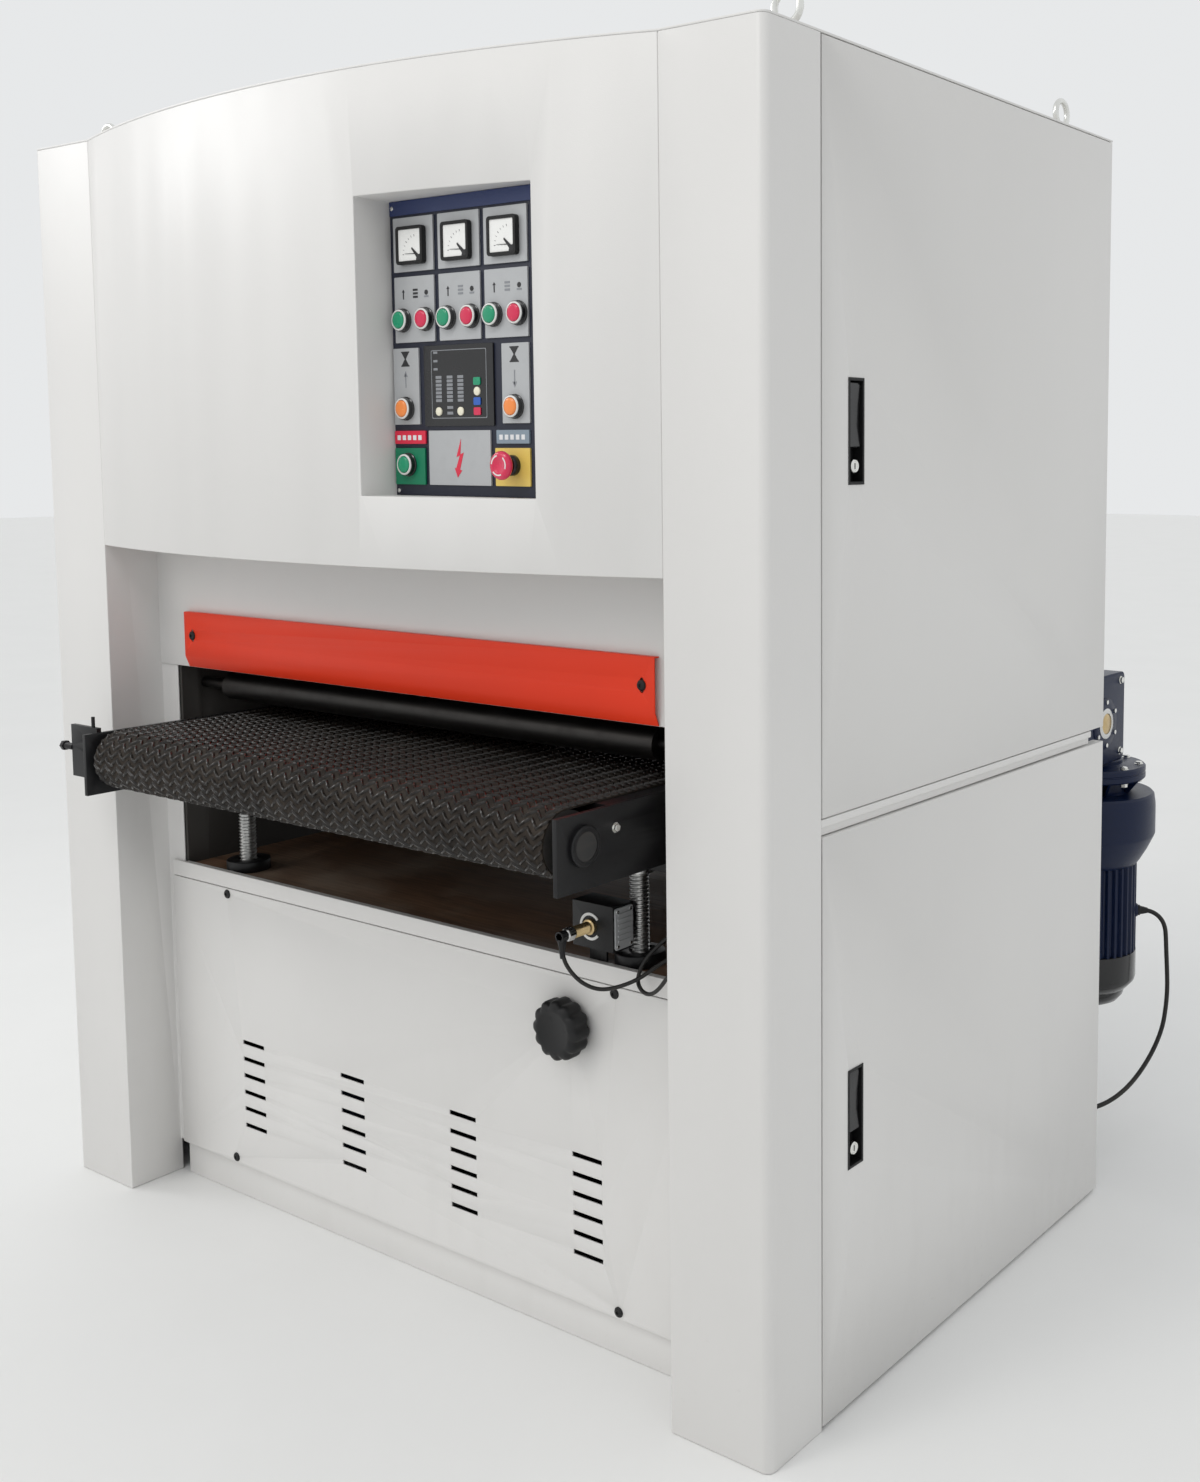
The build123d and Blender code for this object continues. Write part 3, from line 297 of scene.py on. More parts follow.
@dataclass(frozen=True)
class Metal(Finish):
    """Bare metal, turned, drawn or plated, with tool marks round or along an axis."""

    roughness: float = 0.3
    marks: Triple = (600.0, 14.0, 14.0)
    tarnish: float = 0.25
    relief: float = 0.00003

    def shade(self) -> bpy.types.Material:
        """Fine tool marks over a slightly stained metal."""
        s = Shader(self.name, Metallic=1.0)
        marks = s.noise(1.0, 3.0, self.marks)
        stain = s.noise(26.0, 5.0).between(0.45, 0.75) * self.tarnish
        s.feed("Base Color", s.blend(stain, self.colour, self.tone(0.42)))
        s.feed("Roughness", self.roughness + (marks - 0.5) * 0.25 + stain * 0.5)
        s.relief(marks, self.relief)
        return s.material


@dataclass(frozen=True)
class Casting(Finish):
    """Grey iron as cast, with a sandy skin and a film of dust."""

    roughness: float = 0.62
    dust: float = 0.35

    def shade(self) -> bpy.types.Material:
        """A pitted skin, with dust in the hollows."""
        s = Shader(self.name, Metallic=0.35)
        sand = s.noise(480.0, 4.0)
        dust = s.noise(30.0, 5.0).between(0.4, 0.75) * self.dust
        s.feed("Base Color", s.blend(dust, self.colour, (0.42, 0.36, 0.28)))
        s.feed("Roughness", self.roughness + (sand - 0.5) * 0.3 + dust * 0.25)
        s.relief(sand + s.cells(160.0) * 0.6, 0.0004)
        return s.material


@dataclass(frozen=True)
class Rubber(Finish):
    """Rubber with sanding dust worked into it."""

    roughness: float = 0.5
    gloss: float = 0.4
    dust: Colour = (0.15, 0.12, 0.095)
    dusty: float = 0.5
    grain: float = 900.0

    def shade(self) -> bpy.types.Material:
        """Dust in soft patches and streaks over a fine grain."""
        s = Shader(self.name, Specular_IOR_Level=self.gloss)
        patch = s.noise(9.0, 5.0).between(0.35, 0.7)
        streak = s.noise(1.0, 4.0, (150.0, 5.0, 60.0)).between(0.42, 0.72)
        share = (patch * 0.45 + streak * 0.55) * self.dusty
        s.feed("Base Color", s.blend(share, self.colour, self.dust))
        s.feed("Roughness", self.roughness + share * 0.55)
        s.relief(s.noise(self.grain, 3.0), 0.00012)
        return s.material


@dataclass(frozen=True)
class Moulded(Finish):
    """Moulded plastic: matt with a spark-eroded grain, or clear and glossy."""

    roughness: float = 0.45
    grain: float = 0.00005
    coat: float = 0.0
    lamp_and_painted_glow: float = 0.0

    def shade(self) -> bpy.types.Material:
        """A fine even grain, a few scuffs, a lacquer where it is glossy, and a faint emission in
        its own colour, which is painted light on the push buttons and the mushroom head and the
        lamps' own light on the indicator lamps.
        """
        s = Shader(
            self.name, Coat_Weight=self.coat, Coat_Roughness=0.12, Emission_Strength=self.lamp_and_painted_glow,
            Specular_IOR_Level=0.35,
        )
        scuff = s.noise(60.0, 5.0).between(0.58, 0.8)
        s.feed("Base Color", s.blend(scuff * 0.35, self.colour, self.tone(1.5)))
        s.feed("Roughness", self.roughness + scuff * 0.2)
        # Emission in the finish's own colour: painted light on caps that are no lamps.
        s.feed("Emission Color", self.colour)
        s.relief(s.noise(1500.0, 2.0), self.grain)
        return s.material


@dataclass(frozen=True)
class Printed(Finish):
    """A printed or brushed foil plate."""

    roughness: float = 0.38
    metallic: float = 0.0

    def shade(self) -> bpy.types.Material:
        """A faint brushed grain under the print, with a little smudging from handling."""
        s = Shader(self.name, Metallic=self.metallic)
        brush = s.noise(1.0, 2.0, (60.0, 60.0, 2400.0))
        hands = s.noise(45.0, 4.0).between(0.5, 0.8)
        s.feed("Base Color", s.blend(hands * 0.18 + brush * 0.1, self.colour, self.tone(0.72)))
        s.feed("Roughness", self.roughness + (brush - 0.5) * 0.16 + hands * 0.15)
        s.relief(brush, 0.00002)
        return s.material


@dataclass(frozen=True)
class Board(Finish):
    """Brown board under the feed table, grey with sanding dust."""

    def shade(self) -> bpy.types.Material:
        """Grain along X under drifts of dust."""
        s = Shader(self.name)
        grain = s.noise(1.0, 6.0, (9.0, 130.0, 60.0)).between(0.35, 0.7)
        wood = s.blend(grain, self.tone(0.62), self.tone(1.15))
        drift = s.noise(6.0, 6.0).between(0.45, 0.7)
        s.feed("Base Color", s.blend(drift * 0.45, wood, (0.40, 0.33, 0.26)))
        s.feed("Roughness", 0.55 + drift * 0.3)
        s.relief(grain + s.noise(220.0, 3.0) * 0.5, 0.0004)
        return s.material


@dataclass(frozen=True)
class Grit(Finish):
    """Coated abrasive cloth: close grit, a little clogged along the travel."""

    def shade(self) -> bpy.types.Material:
        """Grit cells, with pale clogged streaks round the belt."""
        s = Shader(self.name)
        grit = s.cells(1600.0)
        clog = s.noise(1.0, 4.0, (70.0, 2.0, 2.0)).between(0.5, 0.8)
        worn = s.blend(clog * 0.5, self.colour, (0.48, 0.36, 0.24))
        s.feed("Base Color", s.blend(grit.between(0.0, 0.6) * 0.5, worn, self.tone(0.45)))
        s.feed("Roughness", 0.85 - clog * 0.2)
        s.relief(grit, 0.0003)
        return s.material


# The casing's soiling colour is darker than its enamel, so its darkening towards the floor is
# partly painted shade.
WHITE = Enamel("casing enamel", (0.715, 0.705, 0.69), grime_and_shade=0.06, mottle=0.015)
RED = Enamel(
    "guard enamel", (0.86, 0.048, 0.014), roughness=0.4, grime_and_shade=0.05, mottle=0.04, gloss=0.25
)
FRAME = Enamel(
    "frame enamel", (0.050, 0.046, 0.042), roughness=0.5, grime_and_shade=0.6, gloss=0.35,
    soil_and_shade=(0.22, 0.18, 0.14)
)
BLACK = Enamel(
    "black enamel", (0.010, 0.010, 0.011), roughness=0.4, grime_and_shade=0.35, gloss=0.3,
    soil_and_shade=(0.12, 0.10, 0.08)
)
NAVY = Enamel(
    "gearmotor enamel", (0.003, 0.010, 0.040), roughness=0.34, peel=0.0003, grime_and_shade=0.08, gloss=0.28
)
BROWN = Board("dusty board", (0.19, 0.105, 0.06))
STEEL = Metal("turned steel", (0.60, 0.60, 0.59))
SHAFT = Metal("ground shaft", (0.66, 0.66, 0.65), roughness=0.22, marks=(14.0, 14.0, 700.0))
ZINC = Metal("bright zinc", (0.80, 0.80, 0.77), roughness=0.2, marks=(120.0, 120.0, 120.0))
BRASS = Metal(
    "brass fitting", (0.62, 0.47, 0.25), roughness=0.3, marks=(80.0, 600.0, 80.0), tarnish=0.5
)
ROLLER = Metal("blackened shaft", (0.055, 0.052, 0.050), roughness=0.42, marks=(14.0, 14.0, 700.0))
IRON = Casting("cast iron", (0.12, 0.125, 0.13))
DARK = Enamel(
    "panel enamel", (0.010, 0.013, 0.030), roughness=0.4, grime_and_shade=0.15, soil_and_shade=(0.2, 0.19, 0.18)
)
HEADER = Enamel("panel header", (0.022, 0.038, 0.125), roughness=0.34, grime_and_shade=0.1)
FOIL = Printed("grey foil", (0.48, 0.49, 0.50), metallic=0.25)
PALE = Printed("pale foil", (0.78, 0.79, 0.80))
INK = Printed("black print", (0.02, 0.02, 0.022))
GREY_INK = Printed("grey print", (0.26, 0.27, 0.29))
RED_PRINT = Printed("red print", (0.72, 0.02, 0.06))
GREEN_PRINT = Printed("green plate", (0.0, 0.20, 0.095))
YELLOW_PRINT = Printed("yellow plate", (0.80, 0.58, 0.13))
BLUE_PRINT = Printed("blue print", (0.03, 0.12, 0.50))
SLATE_PRINT = Printed("slate print", (0.24, 0.30, 0.36))
DIAL = Printed("dial face", (0.88, 0.88, 0.86), roughness=0.25)
PLASTIC = Moulded("black moulding", (0.007, 0.007, 0.0075))
GLOSS = Moulded("glossy black moulding", (0.010, 0.010, 0.011), roughness=0.22, coat=0.4)
RING = Moulded("pale ring", (0.74, 0.74, 0.72), roughness=0.3, coat=0.3)
# These three caps emit a faint light: painted light on the push buttons and the mushroom head,
# which are no lamps; on the green and red indicator lamps it is their own light.
GREEN = Moulded("green cap", (0.0, 0.27, 0.13), roughness=0.25, coat=0.6, lamp_and_painted_glow=0.05)
RED_CAP = Moulded("red cap", (0.62, 0.012, 0.07), roughness=0.25, coat=0.6, lamp_and_painted_glow=0.05)
ORANGE = Moulded("orange cap", (0.85, 0.25, 0.05), roughness=0.25, coat=0.6, lamp_and_painted_glow=0.05)
CREAM = Moulded("cream key", (0.86, 0.82, 0.66), roughness=0.35, coat=0.3)
BELT = Rubber("feed belt rubber", (0.008, 0.0065, 0.0055), roughness=0.2, dusty=0.15)
BAND = Rubber("feed band rubber", (0.012, 0.009, 0.007), roughness=0.7, gloss=0.2, dusty=0.35)
DRUM = Rubber("drum rubber", (0.03, 0.03, 0.03), roughness=0.5, dusty=0.3)
DRIVE = Rubber("drive belt rubber", (0.02, 0.02, 0.02), roughness=0.55, dusty=0.25)
SHEATH = Rubber("cable sheath", (0.007, 0.007, 0.007), roughness=0.45, dusty=0.12)
CLOTH = Grit("abrasive cloth", (0.28, 0.075, 0.04))
FLOOR = Enamel(
    "studio floor", (0.86, 0.86, 0.85), roughness=0.6, peel=0.00002, grime_and_shade=0.0, mottle=0.01
)


# ---- meshes ---------------------------------------------------------------------
def spread(axis: Axis, across: float, up: float, along: float) -> Vector:
    """A point from its two coordinates across an axis and its place along it."""
    if axis is Axis.X:
        return Vector((along, across, up))
    if axis is Axis.Y:
        return Vector((across, along, up))
    return Vector((across, up, along))


def circle(centre: Pair, radius: float, steps: int = 24, start: float = 0.0) -> list[Pair]:
    """Points round a circle."""
    turns = (start + math.tau * n / steps for n in range(steps))
    return [(centre[0] + radius * math.cos(a), centre[1] + radius * math.sin(a)) for a in turns]


def rounded(low: Pair, high: Pair, radius: float, steps: int = 4) -> list[Pair]:
    """The outline of a rectangle with rounded corners."""
    points = []
    corners = (
        (high[0], high[1], 0), (low[0], high[1], 1), (low[0], low[1], 2), (high[0], low[1], 3)
    )
    for x, y, quarter in corners:
        cx = x - radius if x == high[0] else x + radius
        cy = y - radius if y == high[1] else y + radius
        for n in range(steps + 1):
            a = math.pi / 2 * (quarter + n / steps)
            points.append((cx + radius * math.cos(a), cy + radius * math.sin(a)))
    return points


def bent_band(centre: Pair, outer: float, inner: float, angles: Sequence[float]) -> list[Pair]:
    """The outline of a band bent round a centre, between two radii."""
    sides = ((outer, angles), (inner, angles[::-1]))
    return [
        (centre[0] + r * math.cos(a), centre[1] + r * math.sin(a)) for r, way in sides for a in way
    ]


class Form:
    """A mesh being built, in metres in the machine's own frame."""

    def __init__(self) -> None:
        """Starts empty."""
        self.mesh = bmesh.new()

    def skin(self, first: Sequence[Any], second: Sequence[Any]) -> None:
        """Joins two closed rows, with as many points in each, by a band of faces."""
        for n in range(len(first)):
            m = (n + 1) % len(first)
            self.mesh.faces.new((first[n], first[m], second[m], second[n]))

    def slab(self, ends: Sequence[Sequence[Vector]]) -> "Form":
        """Adds a solid between two outlines in space, with as many points in each."""
        rows = [[self.mesh.verts.new(point) for point in end] for end in ends]
        self.skin(*rows)
        for row in rows:
            self.mesh.faces.new(row)
        return self

    def prism(self, outline: Sequence[Pair], axis: Axis, start: float, end: float) -> "Form":
        """Pushes an outline out.

        Args:
            outline: its points across the axis.
            axis: the direction it is pushed along.
            start: where it starts along the axis.
            end: where it ends.

        Returns:
            This form.
        """
        return self.slab([[spread(axis, a, b, at) for a, b in outline] for at in (start, end)])

    def box(self, low: Triple, high: Triple) -> "Form":
        """A block between two corners."""
        corners = [(low[0], low[1]), (high[0], low[1]), (high[0], high[1]), (low[0], high[1])]
        return self.prism(corners, Axis.Z, low[2], high[2])

    def lathe(
        self,
        profile: Sequence[Pair],
        axis: Axis,
        centre: Pair,
        steps: int = 40,
        wave: Wave | None = None,
    ) -> "Form":
        """Turns a profile about a line.

        Args:
            profile: (radius, place along the line) points; a radius of 0 closes an end.
            axis: the line's direction.
            centre: where the line crosses, in the two other coordinates.
            steps: how many flats go round.
            wave: gives each point's radius from its angle, radius and place along.

        Returns:
            This form.
        """
        rings = []
        for radius, along in profile:
            if radius == 0.0:
                rings.append([self.mesh.verts.new(spread(axis, *centre, along))])
                continue
            ring = []
            for n in range(steps):
                a = math.tau * n / steps
                r = wave(a, radius, along) if wave else radius
                across, up = centre[0] + r * math.cos(a), centre[1] + r * math.sin(a)
                ring.append(self.mesh.verts.new(spread(axis, across, up, along)))
            rings.append(ring)
        for first, second in zip(rings, rings[1:]):
            if len(first) == len(second) == 1:
                continue
            for n in range(steps):
                m = (n + 1) % steps
                corners = [
                    first[n % len(first)], first[m % len(first)], second[m % len(second)],
                    second[n % len(second)]
                ]
                self.mesh.faces.new(list(dict.fromkeys(corners)))
        return self

    def ring(
        self,
        profile: Sequence[Pair],
        axis: Axis,
        centre: Pair,
        steps: int = 40,
        wave: Wave | None = None,
    ) -> "Form":
        """Turns a closed profile, which stays clear of the line, about the line; see lathe."""
        self.lathe([*profile, profile[0]], axis, centre, steps, wave)
        bmesh.ops.remove_doubles(self.mesh, verts=self.mesh.verts, dist=CLOSE)
        return self

    def turned(
        self,
        start: Vector,
        way: Vector,
        profile: Sequence[Pair],
        steps: int = 32,
        wave: Wave | None = None,
    ) -> "Form":
        """Turns a profile about any line; see lathe.

        Args:
            start: where the profile's places along the line are counted from.
            way: the line's direction.
            profile: (radius, place along the line) points.
            steps: how many flats go round.
            wave: gives each point's radius from its angle, radius and place along.

        Returns:
            This form.
        """
        part = Form().lathe(profile, Axis.Z, (0.0, 0.0), steps, wave)
        part.mesh.transform(
            Matrix.Translation(start) @ way.to_track_quat("Z", "Y").to_matrix().to_4x4()
        )
        mesh = bpy.data.meshes.new("turned")
        part.mesh.to_mesh(mesh)
        part.mesh.free()
        self.mesh.from_mesh(mesh)
        bpy.data.meshes.remove(mesh)
        return self

    def rod(self, start: Triple, end: Triple, radius: float) -> "Form":
        """A round rod between two points."""
        way = Vector(end) - Vector(start)
        return self.turned(
            Vector(start), way,
            [(0.0, 0.0), (radius, 0.0), (radius, way.length), (0.0, way.length)], 16
        )

    def screw(
        self, at: Triple, way: Triple, across: float, high: float, washer: bool = True
    ) -> "Form":
        """A hexagon head on a washer.

        Args:
            at: where its axis meets the surface.
            way: which way it stands out; one of the axes.
            across: its size across corners.
            high: the height of its head.
            washer: whether it has a washer.

        Returns:
            This form.
        """
        index = max(range(3), key=lambda n: abs(way[n]))
        axis, sign = Axis(index), math.copysign(1.0, way[index])
        centre = tuple(at[n] for n in range(3) if n != index)
        start = at[index]
        if washer:
            thin = 0.16 * high
            self.lathe(
                [
                    (0.0, start), (across * 0.62, start), (across * 0.62, start + sign * thin),
                    (0.0, start + sign * thin)
                ],
                axis, centre, 24
            )
            start += sign * thin
        end = start + sign * high
        self.prism(circle(centre, across / 2, 6, 0.26), axis, start, end - sign * 0.12 * high)
        self.lathe(
            [(across * 0.43, end - sign * 0.12 * high), (across * 0.36, end), (0.0, end)], axis,
            centre, 24
        )
        return self

    def add(self, node: str) -> "Form":
        """Takes in a CAD node's mesh, joined up and with its flat faces whole."""
        scratch = bmesh.new()
        scratch.from_mesh(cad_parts[node].data)
        bmesh.ops.remove_doubles(scratch, verts=scratch.verts, dist=MERGE)
        bmesh.ops.dissolve_limit(
            scratch, angle_limit=FLAT, use_dissolve_boundaries=False, verts=scratch.verts,
            edges=scratch.edges,
        )
        mesh = bpy.data.meshes.new("scratch")
        scratch.to_mesh(mesh)
        scratch.free()
        self.mesh.from_mesh(mesh)
        bpy.data.meshes.remove(mesh)
        return self

    def piece(
        self,
        name: str,
        finish: Finish,
        slot: Slot,
        body: str = "machine",
        ease: float = 0.0,
        stands_for: Iterable[str] = (),
        crease: float = 32.0,
        steps: int = 2,
    ) -> bpy.types.Object:
        """Makes the form into a piece of the machine.

        Args:
            name: the piece's name.
            finish: what it is made of.
            slot: the record's slot for that finish; not used.
            body: the body it rides on.
            ease: how far its sharp edges are rounded.
            stands_for: the CAD nodes it replaces.
            crease: the angle from which an edge is sharp, in degrees.
            steps: how many flats an eased edge has.

        Returns:
            The piece.
        """
        bmesh.ops.recalc_face_normals(self.mesh, faces=self.mesh.faces)
        mesh = bpy.data.meshes.new(name)
        self.mesh.to_mesh(mesh)
        self.mesh.free()
        mesh.shade_smooth()
        made = bpy.data.objects.new(name, mesh)
        bpy.context.scene.collection.objects.link(made)
        if ease:
            bevel = made.modifiers.new("eased edges", "BEVEL")
            bevel.width, bevel.segments = ease, steps
            bevel.limit_method, bevel.angle_limit = "ANGLE", math.radians(crease)
            bevel.harden_normals = True
            bevel.miter_outer = "MITER_ARC"
        else:
            mesh.set_sharp_from_angle(angle=math.radians(crease))
        mesh.materials.append(material(finish))
        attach(made, body)
        nodes = list(stands_for)
        if nodes:
            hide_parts(*nodes)
        log.info("%s on %s", name, body)
        return made


def dress(node: str, finish: Finish) -> None:
    """Gives a CAD node that stays as it is its finish."""
    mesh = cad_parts[node].data
    mesh.materials.clear()
    mesh.materials.append(material(finish))


def eased(
    node: str, finish: Finish, slot: Slot, body: str = "machine", ease: float = 0.001,
    steps: int = 2
) -> None:
    """Stands a copy with rounded edges in for a CAD node."""
    Form().add(node).piece(f"{node}_eased", finish, slot, body, ease, (node,), steps=steps)


def cable(
    name: str, route: Sequence[Triple], diameter: float, body: str,
    stands_for: str,
) -> bpy.types.Object:
    """A cable on one smooth line.

    Args:
        name: the piece's name.
        route: its control points, in metres.
        diameter: across the sheath.
        body: the body it rides on.
        stands_for: the CAD node it replaces.

    Returns:
        The curve.
    """
    curve = bpy.data.curves.new(name, "CURVE")
    curve.dimensions, curve.bevel_depth, curve.bevel_resolution = "3D", diameter / 2, 4
    curve.resolution_u, curve.use_fill_caps = 8, True
    line = curve.splines.new("NURBS")
    line.points.add(len(route) - 1)
    for point, at in zip(line.points, route):
        point.co = (*at, 1.0)
    line.order_u = 3
    line.use_endpoint_u = True
    line.use_smooth = True
    made = bpy.data.objects.new(name, curve)
    bpy.context.scene.collection.objects.link(made)
    curve.materials.append(material(SHEATH))
    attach(made, body)
    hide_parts(stands_for)
    log.info("%s on %s", name, body)
    return made


def metres(*points: Triple) -> list[Triple]:
    """The same points, from millimetres."""
    return [tuple(c / 1000.0 for c in p) for p in points]


# ---- casing ---------------------------------------------------------------------
@dataclass
class Casing:
    """The sheet-metal casing, its guard and covers, and the steel frame inside."""

    eyes: Sequence[Triple] = (
        (-0.775, -0.385, 1.9), (0.775, -0.385, 1.9), (-0.775, 0.4, 1.9), (0.775, 0.4, 1.9)
    )
    eye_rise: float = 0.034
    eye_radius: float = 0.021
    eye_wire: float = 0.005
    cover_face: float = -0.405
    guard_face: float = -0.412
    cover_screws: Sequence[Pair] = (
        (-0.469, 0.073), (0.469, 0.073), (-0.469, 0.565), (0.469, 0.565)
    )
    guard_screws: Sequence[Pair] = ((-0.535, 1.030), (0.535, 1.030))
    rear: float = 0.5
    ports: Sequence[Pair] = ((-0.28, 0.3), (0.28, 0.3))
    port_radius: float = 0.075
    port_top: float = 1.99

    def build(self) -> None:
        """Builds and dresses the whole casing."""
        edges = {
            "front_pillars": 0.0016, "front_panel": 0.0013, "recess_panel": 0.001,
            "top_cover": 0.001,
            "lower_cover": 0.0012, "fixed_covers": 0.0014, "base_frame": 0.0012,
        }
        for node, ease in edges.items():
            eased(node, WHITE, Slot.CASING, ease=ease)
        eased("front_guard", RED, Slot.GUARD, ease=0.0006)
        eased("side_frames", FRAME, Slot.FRAME, ease=0.001)
        eased("head_beams", FRAME, Slot.FRAME, ease=0.002)
        eased("base_board", BROWN, Slot.BOARD, ease=0.001)
        dress("door_hinges", ZINC)
        self.lifting_eyes()
        self.screws()
        self.rear_fixings()
        self.port_beads()

    def lifting_eyes(self) -> None:
        """Four forged eyes, screwed down through the top."""
        form = Form()
        for n, (x, y, z) in enumerate(self.eyes):
            axis, centre, along = (Axis.Y, (x, z + self.eye_rise), y) if n < 2 else (
                Axis.X, (y, z + self.eye_rise), x
            )
            form.ring(circle((self.eye_radius, along), self.eye_wire, 12), axis, centre, 36)
            neck = [
                (0.0, z - 0.02), (0.0058, z - 0.02), (0.0058, z), (0.014, z), (0.014, z + 0.004),
                (0.0125, z + 0.0055)
            ]
            neck += [(0.008, z + 0.0075), (0.0055, z + 0.011), (0.0, z + 0.013)]
            form.lathe(neck, Axis.Z, (x, y), 28)
        form.piece("lifting_eyes", ZINC, Slot.ZINC, stands_for=("eye_bolts",))

    def screws(self) -> None:
        """Button-head screws that hold the lower cover and the guard."""
        form = Form()
        spots = [(x, z, self.cover_face) for x, z in self.cover_screws]
        spots += [(x, z, self.guard_face) for x, z in self.guard_screws]
        for x, z, y in spots:
            dome = [
                (0.0, y + 0.006), (0.0034, y + 0.006), (0.0034, y), (0.0082, y),
                (0.0082, y - 0.0007)
            ]
            dome += [
                (0.0072, y - 0.0021), (0.0052, y - 0.0029), (0.0031, y - 0.003),
                (0.0029, y - 0.0016), (0.0, y - 0.0016)
            ]
            form.lathe(dome, Axis.Y, (x, z), 24)
        form.piece("button_screws", PLASTIC, Slot.PLASTIC, stands_for=("cover_screws",))

    def rear_fixings(self) -> None:
        """Rows of hexagon screws round the rear and left covers."""
        form = Form()
        for z in (0.05, 0.32, 0.55, 1.02, 1.30, 1.58, 1.86):
            for x in (-0.77, -0.26, 0.26, 0.77):
                form.screw((x, self.rear, z), (0, 1, 0), 0.0105, 0.004)
        for z in (0.06, 0.42, 0.80, 0.91, 1.38, 1.85):
            for y in (-0.33, 0.46):
                form.screw((-0.825, y, z), (-1, 0, 0), 0.0105, 0.004)
        form.piece("cover_fixings", ZINC, Slot.ZINC)

    def port_beads(self) -> None:
        """The rolled rim and the hose stop of each dust port."""
        form = Form()
        for centre in self.ports:
            r, top = self.port_radius, self.port_top
            form.ring(circle((r - 0.0012, top - 0.002), 0.002, 10), Axis.Z, centre, 56)
            form.ring(
                [(r - 0.001, 1.9), (r + 0.012, 1.9), (r + 0.012, 1.9012), (r - 0.001, 1.903)],
                Axis.Z, centre, 56
            )
        form.piece("port_rims", WHITE, Slot.CASING, crease=50.0)


@dataclass
class Door:
    """A hinged door on the right, with its flush pull and key lock."""

    name: str
    handle_z: float
    face: float = 0.825
    y: float = -0.298
    wide: float = 0.032
    long: float = 0.138
    deep: float = 0.0168

    def build(self) -> None:
        """Builds the leaf, the black tray, the lever and the lock."""
        body = f"{self.name}_door"
        eased(body, WHITE, Slot.CASING, body, ease=0.0014)
        self.tray(body)
        self.lever()
        self.lock(body)

    def tray(self, body: str) -> None:
        """A moulded tray that lines the pocket, with a thin rim on the door's face."""
        half_y, half_z, wall = self.wide / 2 - 0.0003, self.long / 2 - 0.0003, 0.0007
        x0, x1 = self.face - self.deep, self.face + 0.0009
        low, high = (self.y - half_y, self.handle_z - half_z), (
            self.y + half_y, self.handle_z + half_z
        )
        form = Form().prism(rounded(low, high, 0.002), Axis.X, x0, x0 + wall)
        for a, b in (
            ((low[0], low[1]), (low[0] + wall, high[1])),
            ((high[0] - wall, low[1]), (high[0], high[1]))
        ):
            form.box((x0, *a), (x1, *b))
        for a, b in (
            ((low[0], low[1]), (high[0], low[1] + wall)),
            ((low[0], high[1] - wall), (high[0], high[1]))
        ):
            form.box((x0, *a), (x1, *b))
        rim = 0.0035
        for a, b in (
            ((low[0] - rim, low[1] - rim), (low[0], high[1] + rim)),
            ((high[0], low[1] - rim), (high[0] + rim, high[1] + rim)),
            ((low[0], low[1] - rim), (high[0], low[1])),
            ((low[0], high[1]), (high[0], high[1] + rim)),
        ):
            form.box((self.face + 0.0001, *a), (x1, *b))
        form.piece(f"{self.name}_latch_tray", PLASTIC, Slot.PLASTIC, body, ease=0.0003, steps=1)

    def lever(self) -> None:
        """The pull lever: a dished bar with a finger lip at its lower end."""
        y0, y1 = self.y - self.wide / 2 + 0.0025, self.y + self.wide / 2 - 0.0025
        top, foot = self.handle_z + self.long / 2 - 0.003, self.handle_z - 0.022
        x = self.face
        side = [
            (x - 0.0135, top), (x - 0.0035, top), (x - 0.0022, top - 0.004),
            (x - 0.0036, top - 0.03)
        ]
        side += [
            (x - 0.0042, foot + 0.03), (x - 0.0026, foot + 0.008), (x - 0.0018, foot + 0.002),
            (x - 0.0036, foot)
        ]
        side += [
            (x - 0.0075, foot), (x - 0.0085, foot + 0.012), (x - 0.0105, foot + 0.05),
            (x - 0.0135, top - 0.02)
        ]
        form = Form().prism(side, Axis.Y, y0, y1)
        form.rod((x - 0.009, y0 - 0.002, top - 0.004), (x - 0.009, y1 + 0.002, top - 0.004), 0.0028)
        form.piece(
            f"{self.name}_latch_lever", GLOSS, Slot.PLASTIC, f"{self.name}_handle", 0.0009, (
                f"{self.name}_handle",
            )
        )

    def lock(self, body: str) -> None:
        """The key lock below the lever, with a black plate of painted shade where the key goes in.
        """
        x, z = self.face, self.handle_z - 0.047
        barrel = [
            (0.0, x - 0.0165), (0.0092, x - 0.0165), (0.0092, x - 0.0022), (0.0083, x - 0.0012),
            (0.0067, x - 0.0012)
        ]
        barrel += [(0.0062, x - 0.0019), (0.0, x - 0.0019)]
        Form().lathe(barrel, Axis.X, (self.y, z), 32).piece(
            f"{self.name}_lock", ZINC, Slot.ZINC, body
        )
        # A thin black plate stands in for the key slot: painted shade, not a cut slot.
        slot = Form().prism(
            rounded((self.y - 0.0009, z - 0.0042), (self.y + 0.0009, z + 0.0042), 0.0005), Axis.X,
            x - 0.0024, x - 0.0016
        )
        slot.piece(f"{self.name}_keyway_shade", INK, Slot.PLASTIC, body)


